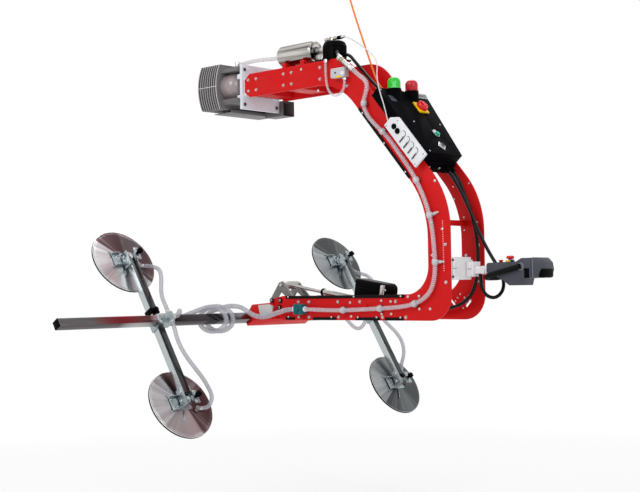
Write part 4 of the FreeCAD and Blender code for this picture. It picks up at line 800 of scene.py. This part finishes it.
def frameBolts(bm):
    # domed socket heads with washers, on every bolt of the frame
    look = {"washer": ((0.0082, 0), (0.0082, 0.0014), (0.0072, 0.0016)),
            "head": ((0.0068, 0.0016), (0.0068, 0.0040), (0.0054, 0.0062), (0.0032, 0.0066),
                     (0.0030, 0.0040)),
            "steps": 14, "shank": 0.006, "headHeight": 0.007}
    deep = look["headHeight"]
    for low, high in solidBoxes("frame_bolts"):
        x, z = (low.x + high.x) / 2, (low.z + high.z) / 2
        for y, way in ((low.y, -1), (high.y, 1)):
            foot = Vector((x, y - way * deep, z))
            lathe(bm, look["washer"] + look["head"], foot, Vector((0, way, 0)), look["steps"])
        start = Vector((x, low.y + deep, z))
        rod(bm, look["shank"], high.y - low.y - 2 * deep, start, outward["far"], look["steps"])


def pumpTrim(bm):
    # flange bolts and lugs, the oval drum, and a thin rod along the fins' near side
    look = {"face": -0.363, "boltY": 0.113, "boltZ": (-0.044, -0.224), "bolt": 0.009,
            "lug": ((-0.398, -0.134, -0.013), (-0.377, -0.112, 0.013), 0.003), "lugZ": (-0.080, -0.188),
            "tieY": -0.1915, "tieZ": -0.122, "tie": 0.0014}
    drum = {"foot": (-0.494, 0.0125, -0.1205), "wide": 1.86, "outline": (
        (0.094, 0), (0.095, 0.030), (0.095, 0.056), (0.093, 0.070), (0.089, 0.082), (0.082, 0.091),
        (0.073, 0.098), (0.060, 0.103), (0.040, 0.105))}
    spots = [(look["face"], side * look["boltY"], z) for side in (-1, 1) for z in look["boltZ"]]
    screws(bm, spots, outward["front"], look["bolt"], 1)
    for z in look["lugZ"]:
        block(bm, Matrix.Translation((0, 0, z)), *look["lug"])
    foot = Vector(drum["foot"])
    verts = lathe(bm, drum["outline"], foot, outward["front"], 72, 2)
    bmesh.ops.scale(bm, vec=(1, drum["wide"], 1), space=Matrix.Translation(-foot), verts=verts)
    start = Vector((fins["start"], look["tieY"], look["tieZ"]))
    rod(bm, look["tie"], fins["end"] - fins["start"], start, outward["front"], 8)


def tankTrim(bm):
    # rolled rim and dark plug at the tank's ends, and nuts on its fittings
    look = {"end": 0.114, "start": -0.116, "nut": (0.0165, 0.012), "nutOut": 0.007,
            "rim": ((0.043, -0.003), (0.043, 0.0015), (0.037, 0.002), (0.035, -0.001)),
            "plug": ((0.020, 0), (0.020, 0.004), (0.016, 0.006))}
    for x, heading in ((look["end"], outward["front"]), (look["start"], -outward["front"])):
        foot = Vector((0, tankY, tankZ)) + Vector((x, 0, 0))
        lathe(bm, look["rim"], foot, heading, 40)
        lathe(bm, look["plug"], foot, heading, 28, 1)
        rod(bm, *look["nut"], foot + heading * look["nutOut"], heading, 6, 2)


def filterTrim(bm):
    # ribs and clamp ring round the filter, fittings over it, and the check valve's nuts
    look = {"axis": (0.218, -0.056, 0), "ribs": 26, "ringZ": -0.006, "crownZ": 0.039,
            "rib": ((0.054, -0.0022, -0.058), (0.0582, 0.0022, -0.004), 0.001),
            "valveTop": (0.336, hoseY, -0.085), "valveEnd": (0.417, hoseY, -0.150),
            "ring": ((0.0575, 0), (0.059, 0.002), (0.059, 0.007), (0.0575, 0.009), (0.050, 0.009)),
            "crown": ((-0.060, 0.016, 0.0098, 1), (-0.030, 0.008, 0.0105, 2), (-0.004, 0.012, 0.0108, 1),
                      (0.022, 0.024, 0.0092, 0), (0.046, 0.0195, 0.0062, 0)),
            "valve": ((-0.012, 0.016, 0.0145, 1), (0.012, 0.008, 0.0138, 2), (0.034, 0.006, 0.0130, 1),
                      (0.058, 0.010, 0.0138, 1), (0.088, 0.0155, 0.0128, 1))}
    axis = Matrix.Translation(look["axis"])
    for i in range(look["ribs"]):
        block(bm, axis @ Matrix.Rotation(2 * math.pi * i / look["ribs"], 4, "Z"), *look["rib"])
    lathe(bm, look["ring"], axis @ Vector((0, 0, look["ringZ"])), outward["up"], 48)
    for start, length, radius, finish in look["crown"]:
        rod(bm, radius, length, axis @ Vector((start, 0, look["crownZ"])), outward["front"], 16, finish)
    top, end = Vector(look["valveTop"]), Vector(look["valveEnd"])
    way = (end - top).normalized()
    for start, length, radius, finish in look["valve"]:
        rod(bm, radius, length, top + way * start, way, 12, finish)


def valveTrim(bm):
    # port, screws, coloured pieces and hose nuts on the valve block
    look = {"proud": 0.018, "portSpot": (0.318, 0, -0.152), "port": 0.005, "screw": 0.0032,
            "screws": ((0.296, 0, -0.136), (0.296, 0, -0.169), (0.366, 0, -0.136)),
            "blocks": (((0.284, 0.004, -0.172), (0.291, 0.020, -0.134), 0.0012, 3),
                       ((0.326, -0.002, -0.177), (0.351, 0.012, -0.168), 0.001, 2),
                       ((0.352, -0.003, -0.166), (0.374, 0.010, -0.150), 0.001, 3)),
            "nut": ((0.0095, 0), (0.0095, 0.008), (0.008, 0.009)), "nutSpot": (0.360, hoseY, -0.188),
            "stub": (0.0085, 0.016), "stubSpot": (0.239, hoseY, -0.0910)}
    face = Matrix.Translation((0, hoseY - look["proud"], 0))
    screws(bm, [face @ Vector(look["portSpot"])], outward["near"], look["port"], 1)
    screws(bm, [face @ Vector(spot) for spot in look["screws"]], outward["near"], look["screw"])
    for low, high, width, finish in look["blocks"]:
        block(bm, face, low, high, width, finish)
    lathe(bm, look["nut"], Vector(look["nutSpot"]), outward["up"], 6)
    rod(bm, *look["stub"], Vector(look["stubSpot"]), outward["up"], 6)


def shutOffTrim(bm):
    # caps and lever of the shut-off block on the lower arm, and its hose nuts
    look = {"proud": 0.016, "blocks": (((0.015, -0.004, -0.026), (0.033, 0.006, 0.026), 0.002),
                                       ((0.053, -0.004, -0.026), (0.071, 0.006, 0.026), 0.002),
                                       ((0.036, -0.007, -0.012), (0.050, 0, 0.012), 0.003)),
            "nuts": ((0.074, 0.0135, 1), (0.012, 0.0150, -1)), "nutLength": 0.010}
    face = Matrix.Translation((0, hoseY - look["proud"], feedZ))
    for low, high, width in look["blocks"]:
        block(bm, face, low, high, width)
    for x, radius, way in look["nuts"]:
        rod(bm, radius, look["nutLength"], Vector((x, hoseY, feedZ)), outward["front"] * way, 12, 1)


def controlTrim(bm):
    # screws of the lid, a square patch, the pilot lamp, the key's plate and the blank plate's inner panel
    look = {"screws": ((0.497, -0.070), (0.693, -0.118), (0.497, 0.118), (0.292, -0.143)), "screw": 0.0042,
            "patch": (0.345, -0.100, 0.019), "pilot": (0.557, 0.025, 0.0085), "keyPlate": 0.027,
            "endScrews": ((0.7095, -0.030, -0.062), (0.7095, -0.030, 0.010)), "endScrew": 0.006,
            "panel": ((0.2885, 0.120, lidFace + 0.001), (0.3075, 0.170, lidFace + 0.0032), 0.0005)}
    screws(bm, [onSlope(a, lidFace, y) for a, y in look["screws"]], outward["slope"], look["screw"])
    for name, rise, width, finish in (("patch", 0.0012, 0.0006, 1), ("pilot", 0.009, 0.002, 2)):
        a, y, half = look[name]
        low, high = (a - half, y - half, lidFace - 0.001), (a + half, y + half, lidFace + rise)
        block(bm, slopePlace, low, high, width, finish)
    reach = look["keyPlate"]
    plate = ((reach, -0.001), (reach, 0.0015), (reach - 0.003, 0.0028))
    lathe(bm, plate, onSlope(keySpot[0], lidFace, keySpot[1]), outward["slope"], 4)
    ends = [onSlope(*spot) for spot in look["endScrews"]]
    screws(bm, ends, slopePlace.to_3x3().col[0], look["endScrew"])
    block(bm, slopePlace, *look["panel"], 3)


def keyDrum(bm):
    # lock drum with a low grip across it
    look = {"drum": ((0.0108, 0.0525), (0.0108, 0.0600), (0.0098, 0.0612)), "grip": (0.0085, 0.0014, 0.0650),
            "stem": ((0.0035, 0.042), (0.0035, 0.053))}
    place = slopePlace @ Matrix.Translation((*keySpot, 0))
    lathe(bm, look["drum"], place.to_translation(), outward["slope"], 32)
    reach, half, top = look["grip"]
    block(bm, place, (-reach, -half, 0.060), (reach, half, top), 0.0006, 1)
    lathe(bm, look["stem"], place.to_translation(), outward["slope"], 16)


def switchKnob(bm):
    # round red knob over the yellow plate, dished on top with a bar across it
    look = {"dial": ((0.0285, 0.0605), (0.0290, 0.064), (0.0268, 0.074), (0.0250, 0.0795), (0.0200, 0.0800),
                     (0.0170, 0.0740)), "bar": (0.020, 0.006), "stem": ((0.0075, 0.040), (0.0075, 0.062))}
    place = slopePlace @ Matrix.Translation((*switchSpot, 0))
    lathe(bm, look["dial"], place.to_translation(), outward["slope"], 40)
    reach, half = look["bar"]
    block(bm, place, (-reach, -half, 0.070), (reach, half, 0.0835), 0.002)
    lathe(bm, look["stem"], place.to_translation(), outward["slope"], 16)


def panelTrim(bm):
    # black sheets round the arched flaps and a black strip along each flap's side as painted shadow, black
    # caps on the round ports, screws at the corners
    look = {"ports": (0.494, 0.524), "portOut": 0.008, "flaps": (0.558, 0.594, 0.630, 0.666), "half": 0.013,
            "port": ((0.0132, 0), (0.0132, 0.005), (0.0112, 0.0062), (0.0098, 0.0050)),
            "gap": 0.0016, "arch": 0.0225,
            "screws": ((0.490, 0.040), (0.708, 0.043), (0.708, -0.022), (0.457, -0.024)), "screw": 0.0034}
    half, gap, face = look["half"], look["gap"], panelFace
    wide = half + gap
    for a in look["ports"]:
        lathe(bm, look["port"], onSlope(a, look["portOut"], face), outward["near"], 28)
    for a in look["flaps"]:
        top = onSlope(a, look["arch"], face)
        low, high = (a - wide, face - 0.0012, -0.0195), (a + wide, face + 0.001, 0.0235 + gap)
        block(bm, slopePlace, low, high, 0.0004)
        rod(bm, wide, 0.0012, top, outward["near"], 24)
        lathe(bm, ((half, 0), (half, 0.0048), (half - 0.001, 0.0055)), top, outward["near"], 24, 1)
        # black strip along the flap's side: painted shadow
        low, high = (a + half - 0.002, face - 0.0060, -0.016), (a + wide, face - 0.0050, 0.018)
        block(bm, slopePlace, low, high, 0.0002)
    screws(bm, [onSlope(a, out, face) for a, out in look["screws"]], outward["near"], look["screw"], 2)


def stripScrews(bm):
    # screws on the black strips, and short bolts on the plates' outer and inner faces
    look = {"strips": ((-0.051, -1.210), (0.386, -1.211), (0.674, -1.211), (-0.050, -1.307), (0.240, -1.307),
                       (0.410, -1.307), (0.527, -1.307), (0.671, -1.307), (0.459, -0.355), (0.590, -0.508),
                       (0.714, -0.649)),
            "plates": ((0.358, -1.239), (0.553, -1.231), (0.610, -1.235), (0.713, -1.214), (0.778, -1.212),
                       (0.779, -1.269), (0.841, -1.269), (0.554, -1.292), (0.612, -1.292), (0.364, -1.303),
                       (0.918, -0.916), (0.881, -0.700), (0.171, -0.217), (0.058, -0.099)),
            "inside": ((0.882, -0.700), (0.792, -0.710), (0.797, -0.767), (0.851, -0.854), (0.852, -0.913),
                       (0.924, -0.880), (0.927, -0.906), (0.806, -1.223), (0.837, -1.269), (0.793, -1.238),
                       (0.871, -1.213), (0.822, -1.206), (0.846, -1.222), (0.858, -1.250), (0.884, -1.236)),
            "strip": 0.0050, "plate": 0.0068, "inner": 0.0046}
    for side, heading in sides:
        screws(bm, [(x, side * stripFace, z) for x, z in look["strips"]], heading, look["strip"])
        screws(bm, [(x, side * plateFace, z) for x, z in look["plates"]], heading, look["plate"])
        screws(bm, [(x, side * plateInner, z) for x, z in look["inside"]], -heading, look["inner"])


def noseTrim(bm):
    # bolts in the black washers of the tilt shaft, and a row of small dimples down the back's near plate
    look = {"washers": ((-0.168, -1.226), (-0.108, -1.226), (-0.114, -1.261)), "bolt": 0.0078,
            "dimples": ((0.919, -0.880), (0.923, -1.100)), "count": 23, "dimple": 0.0030}
    for side, heading in sides:
        screws(bm, [(x, side * washerFace, z) for x, z in look["washers"]], heading, look["bolt"])
    start, end = (Vector((x, -plateFace, z)) for x, z in look["dimples"])
    for i in range(look["count"]):
        spot = start.lerp(end, i / (look["count"] - 1))
        lathe(bm, ((look["dimple"], 0), (look["dimple"] * 0.8, 0.0003)), spot, outward["near"], 8, 1)


def clipTrim(bm):
    # flared clear clips round the long hose; two have a tail to the side
    look = {"sleeve": ((0.0112, 0), (0.0136, 0.005), (0.0144, 0.013), (0.0136, 0.021), (0.0112, 0.026)),
            "after": (5, 8, 11, 13, 15, 18, 20, 22), "tailed": (13, 15), "back": 0.013, "root": 0.010,
            "tail": ((0.0075, 0), (0.0080, 0.008), (0.0030, 0.036))}
    for i in look["after"]:
        p, q = Vector(mainRoute[i]), Vector(mainRoute[i + 1])
        way = (q - p).normalized()
        mid = (p + q) / 2
        lathe(bm, look["sleeve"], mid - way * look["back"], way, 18)
        if i in look["tailed"]:
            side = way.cross(outward["far"])
            lathe(bm, look["tail"], mid + (side + outward["far"]) * look["root"], side, 10)


def handsetTrim(bm):
    # on both sides a recess, a seam, a pale band and a boss; the band's top, the rear cap, a label and the
    # rings round the buttons
    look = {"side": (0.0545, 0.0572), "bossSpot": (1.282, -1.090), "bossOut": 0.0555,
            "boss": ((0.017, 0), (0.017, 0.0015), (0.013, 0.0035), (0.010, 0.0030)),
            "sides": (((1.300, -1.140), (1.326, -1.098), 0.0008, 0),
                      ((1.336, -1.136), (1.3376, -1.056), 0.0003, 0),
                      ((1.340, -1.136), (1.345, -1.057), 0.0008, 1)),
            "blocks": (((1.340, -0.056, -1.056), (1.345, 0.056, -1.0525), 0.0008, 1),
                       ((1.357, -0.046, -1.140), (1.3835, 0.046, -1.100), 0.010, 0),
                       ((1.174, -0.034, -1.0702), (1.196, -0.008, -1.0685), 0.0006, 0)),
            "rings": ((1.156, -0.022, -1.070), (1.214, -0.022, -1.070)),
            "ring": ((0.0125, 0), (0.0125, 0.0020), (0.0105, 0.0025))}
    x, z = look["bossSpot"]
    for side, heading in sides:
        near, far = sorted(side * y for y in look["side"])
        for (x0, z0), (x1, z1), width, finish in look["sides"]:
            block(bm, upright, (x0, near, z0), (x1, far, z1), width, finish)
        lathe(bm, look["boss"], Vector((x, side * look["bossOut"], z)), heading, 28, 1)
    for low, high, width, finish in look["blocks"]:
        block(bm, upright, low, high, width, finish)
    for spot in look["rings"]:
        lathe(bm, look["ring"], Vector(spot), outward["up"], 24)


def bracketTrim(bm):
    # joints, ribs, collars and screws of the handset's clamp
    look = {"joints": (((0.9128, -0.1184, -1.0922), (0.9752, -0.100, -1.0898)),
                       ((0.9275, -0.1184, -1.1400), (0.9293, -0.116, -1.0420)),
                       ((0.9650, -0.1184, -1.1400), (0.9668, -0.116, -1.0420)),
                       ((0.9840, -0.0352, -1.0958), (1.0060, -0.030, -1.0938))),
            "ribs": (((0.930, -0.1195, -1.1405), (0.936, -0.112, -1.0415)),
                     ((0.957, -0.1195, -1.1405), (0.963, -0.112, -1.0415))),
            "collars": (((0.978, -0.038, -1.129), (0.984, 0.018, -1.061)),
                        ((1.006, -0.037, -1.128), (1.0155, 0.017, -1.062)),
                        ((1.050, -0.025, -1.118), (1.066, 0.005, -1.082))),
            "screws": ((0.921, -1.054), (0.968, -1.054), (0.921, -1.128), (0.968, -1.128)), "screw": 0.0060}
    for group, width, finish in (("joints", 0.0003, 1), ("ribs", 0.001, 0), ("collars", 0.0015, 0)):
        for low, high in look[group]:
            block(bm, upright, low, high, width, finish)
    screws(bm, [(x, -plateInner, z) for x, z in look["screws"]], outward["near"], look["screw"], 1)


def hoodHighlightTrim(bm):
    # pale steel cylinder at the rear of the motor hood as a painted highlight on its rounded end, a screw
    # there, and a seam along it
    look = {"highlightCylinder": ((0.012, 0), (0.012, 0.046), (0.009, 0.050)), "foot": (0.486, -0.0455, -1.209),
            "screwSpot": (0.506, -0.0442, -1.183), "screw": 0.0055,
            "seam": ((0.486, -0.0448, 0.066), (0.660, 0.0448, 0.0672))}
    lathe(bm, look["highlightCylinder"], Vector(look["foot"]), actuatorPlace.to_3x3().col[2], 20)
    screws(bm, [look["screwSpot"]], outward["near"], look["screw"])
    block(bm, actuatorPlace, *look["seam"], 0.0003, 1)


def beaconCore(node, y, finish):
    # bulb and reflector inside a lens
    bulb = ((0.018, 0), (0.018, 0.006), (0.009, 0.010), (0.009, 0.028), (0.006, 0.032))
    bm = bmesh.new()
    lathe(bm, bulb, onSlope(0.308, lidFace, y) + Vector((0, 0, 0.026)), outward["up"], 20)
    trim(node + ".core", node, bm, finish)


def clampTrim(armName, arm):
    # bolts on the beam clamp, hose nuts on its tee
    look = {"top": 0.0252, "boltY": 0.032, "boltC": 0.017, "bolt": 0.0055, "nut": (0.0130, 0.010),
            "nutC": 0.0215, "feedNut": (0.0150, 0.010), "feedOut": 0.033}
    y, inward = arm["y"], arm["inward"]
    bm = bmesh.new()
    spots = [onHead(look["top"], y + a * look["boltY"], c * look["boltC"]) for a in (-1, 1) for c in (-1, 1)]
    screws(bm, spots, outward["head"], look["bolt"])
    for side in (-1, 1):
        foot = onHead(teeN, y + teeOut * inward, side * look["nutC"])
        rod(bm, *look["nut"], foot, headPlace.to_3x3().col[2] * side, 6)
    foot = onHead(teeN, y + look["feedOut"] * inward, 0)
    rod(bm, *look["feedNut"], foot, Vector((0, inward, 0)), 6)
    trim(armName + "ClampTrim", armName + "_brackets", bm, boltSteel)


def forkTrim(armName, arm, side):
    # bolt ends on the cheeks of a disc's fork and nuts on its plate
    look = {"cheek": 0.026, "bolts": ((-0.058, 0), (-0.040, 0.036)), "bolt": 0.0080,
            "plate": -0.0191, "nutY": 0.030, "nutC": 0.024, "nut": 0.0050}
    y, c = arm["y"], side * discReach
    bm = bmesh.new()
    for way, heading in sides:
        out = y + way * look["cheek"]
        screws(bm, [onHead(n, out, c - side * off) for n, off in look["bolts"]], heading, look["bolt"])
    nuts = [onHead(look["plate"], y + look["nutY"], c + way * look["nutC"]) for way in (-1, 1)]
    screws(bm, nuts, outward["head"], look["nut"])
    trim("%s%sForkTrim" % (armName, side), armName + "_brackets", bm, boltSteel)


dish = {"seat": -0.077, "from": 0.030, "fall": 0.119, "sunk": 0.002}


def dishTop(radius):
    # upper face of a suction disc, which falls towards its rim
    return dish["seat"] - dish["fall"] * (radius - dish["from"])


def discTrim(disc, arm, side):
    # channel plate under the fork, its screws, ribs, and the washer and nut of the hose fitting
    look = {"ribs": (150, 205, 250), "ribFrom": 0.040, "ribLength": 0.056, "ribHalf": 0.0015,
            "ribHigh": 0.003, "fitting": (0.062, 0.040),
            "washer": ((0.0150, 0), (0.0150, 0.0035), (0.0125, 0.0045)),
            "nut": (0.0128, 0.006), "nutN": -0.0685, "plateEdge": 0.001, "screw": 0.0055,
            "plates": (((-0.0815, -0.074, -0.036), (-0.0775, 0.040, 0.036)),
                       ((-0.0815, -0.074, -0.036), (-0.0640, -0.026, -0.032)),
                       ((-0.0815, -0.074, 0.032), (-0.0640, -0.026, 0.036))),
            "screws": ((-0.062, -0.020), (-0.062, 0.020), (-0.040, -0.020), (-0.040, 0.020)),
            "screwN": -0.0775}
    bm = bmesh.new()
    place = headPlace @ Matrix.Translation((0, arm["y"], side * discReach))
    for low, high in look["plates"]:
        block(bm, place, low, high, look["plateEdge"])
    spots = [place @ Vector((look["screwN"], a, b)) for a, b in look["screws"]]
    screws(bm, spots, outward["head"], look["screw"])
    start = Matrix.Translation((dishTop(look["ribFrom"]), look["ribFrom"], 0))
    start = start @ Matrix.Rotation(math.atan(dish["fall"]), 4, "Z")
    for turn in look["ribs"]:
        spoke = place @ Matrix.Rotation(math.radians(turn), 4, "X") @ start
        high = (look["ribHigh"], look["ribLength"], look["ribHalf"])
        block(bm, spoke, (-dish["sunk"], 0, -look["ribHalf"]), high, 0.0005)
    out, drop = look["fitting"]
    drop = drop if arm["inward"] > 0 else 0
    reach = math.hypot(out, drop)
    square = headPlace.to_3x3() @ Vector((reach, dish["fall"] * out, -dish["fall"] * drop)).normalized()
    lathe(bm, look["washer"], place @ Vector((dishTop(reach) - dish["sunk"], out, -drop)), square, 20, 1)
    rod(bm, *look["nut"], place @ Vector((look["nutN"], out, -drop)), outward["head"], 6)
    trim(disc + "Trim", disc + "_disc", bm, zinc, darkRed)


# a piece is named after its function; these stand in place of their node's solids
standIns = (frameBolts, keyDrum, switchKnob)
for build, node, *finishes in (
        (frameBolts, "frame_bolts", boltSteel),
        (pumpTrim, "pump_flange", flangePaint, darkSteel, barrelPaint),
        (tankTrim, "vacuum_tank", polished, darkSteel, boltSteel),
        (filterTrim, "filter_housing", blackPlastic, boltSteel, brass),
        (valveTrim, "air_fittings", boltSteel, darkSteel, yellow, whitePlastic),
        (shutOffTrim, "air_fittings", teal, whitePlastic),
        (controlTrim, "control_lid", boltSteel, darkGrey, whitePlastic, midGrey),
        (keyDrum, "key_switch", midGrey, darkSteel), (switchKnob, "main_switch_knob", redPlastic),
        (panelTrim, "socket_panel", blackPlastic, whitePlastic, zinc),
        (stripScrews, "edge_strips", paleSteel),
        (noseTrim, "front_side_plate", boltSteel, paleRed), (clipTrim, "hose_clips", clipSkin),
        (handsetTrim, "handset_body", blackPlastic, midGrey),
        (bracketTrim, "handset_bracket", aluminium, darkSteel),
        (hoodHighlightTrim, "actuator_body", boltSteel, rubber)):
    bm = bmesh.new()
    build(bm)
    trim(build.__name__, node, bm, *finishes, instead=build in standIns)
# the green bulb's glow is painted light for the lens's bright middle
beaconCore("green_beacon", -0.060, bulbPaintedGlow)
beaconCore("red_beacon", 0.066, paleRed)
for armName, arm in arms.items():
    clampTrim(armName, arm)
    for level, side in levels.items():
        forkTrim(armName, arm, side)
        discTrim(armName + "_" + level, arm, side)
print("details placed")


# Stage

stageLook = {"floorZ": -2.30, "floorReach": 9.0, "floorColour": (0.98, 0.98, 0.98, 1), "fill": 0.55,
             "fade": {"From Min": 1.0, "From Max": 5.0, "To Min": 0.45}, "aim": (0.35, 0, -0.85)}
# place, width in metres and watts of each lamp
lamps = {"key": ((0.4, -4.2, 1.9), 3.0, 95), "side": ((4.4, -0.6, 1.2), 2.5, 45),
         "top": ((-0.6, 1.6, 3.2), 3.0, 60)}


def studioFloor():
    f = Finish("studioFloor", {"Roughness": 0.7, "Base Color": stageLook["floorColour"]})
    bm = bmesh.new()
    bmesh.ops.create_circle(bm, cap_ends=True, segments=96, radius=stageLook["floorReach"])
    bmesh.ops.translate(bm, verts=bm.verts, vec=(0, 0, stageLook["floorZ"]))
    # the floor fades into the white behind it
    reach = f.node("ShaderNodeVectorMath", {"operation": "LENGTH"}, {0: f.place}, "Value")
    fade = f.node("ShaderNodeMapRange", {}, {"Value": reach, **stageLook["fade"]})
    white = f.node("ShaderNodeEmission", {}, {"Strength": 1.0})
    plain = Signal(f, f.shader.outputs[0])
    blend = f.node("ShaderNodeMixShader", {}, {0: fade, 1: plain, 2: white})
    f.tree.links.new(blend.socket, f.tree.nodes["Material Output"].inputs["Surface"])
    floor = meshPiece("studioFloor", bm, [f.material])
    bpy.context.scene.collection.objects.link(floor)


def studioWorld():
    world = bpy.data.worlds.new("studio")
    world.use_nodes = True
    bpy.context.scene.world = world
    g = Graph(world.node_tree)
    path = g.node("ShaderNodeLightPath", {}, {}, "Is Camera Ray")
    rays = path.socket.node.outputs
    seen = path + Signal(g, rays["Is Glossy Ray"]) + Signal(g, rays["Is Transmission Ray"])
    background = world.node_tree.nodes["Background"]
    background.inputs["Color"].default_value = (1, 1, 1, 1)
    strength = stageLook["fill"] + (1 - stageLook["fill"]) * (seen > 0.5)
    g.feed(background.inputs["Strength"], strength)


def softLight(name, place, size, watts):
    data = bpy.data.lights.new(name, "AREA")
    data.shape = "DISK"
    data.size = size
    data.energy = watts
    light = bpy.data.objects.new(name, data)
    bpy.context.scene.collection.objects.link(light)
    light.location = place
    light.rotation_euler = (Vector(stageLook["aim"]) - Vector(place)).to_track_quat("-Z", "Y").to_euler()


cameraLook = {"place": (4.5614, -4.6959, -1.1773), "lens": 74.22, "sensor": 36,
              "right": (0.72039, 0.69341, -0.01486), "up": (0.03379, -0.01368, 0.99934),
              "back": (0.69275, -0.72041, -0.03328)}


def photoCamera():
    data = bpy.data.cameras.new("photoCamera")
    data.lens = cameraLook["lens"]
    data.sensor_width = cameraLook["sensor"]
    data.sensor_fit = "HORIZONTAL"
    camera = bpy.data.objects.new("photoCamera", data)
    turn = Matrix((cameraLook["right"], cameraLook["up"], cameraLook["back"])).transposed().to_4x4()
    camera.matrix_world = Matrix.Translation(cameraLook["place"]) @ turn
    bpy.context.scene.collection.objects.link(camera)
    bpy.context.scene.camera = camera


studioFloor()
studioWorld()
for name, (place, size, watts) in lamps.items():
    softLight(name, place, size, watts)
photoCamera()
bpy.context.scene.view_settings.view_transform = "Standard"
print("stage set")
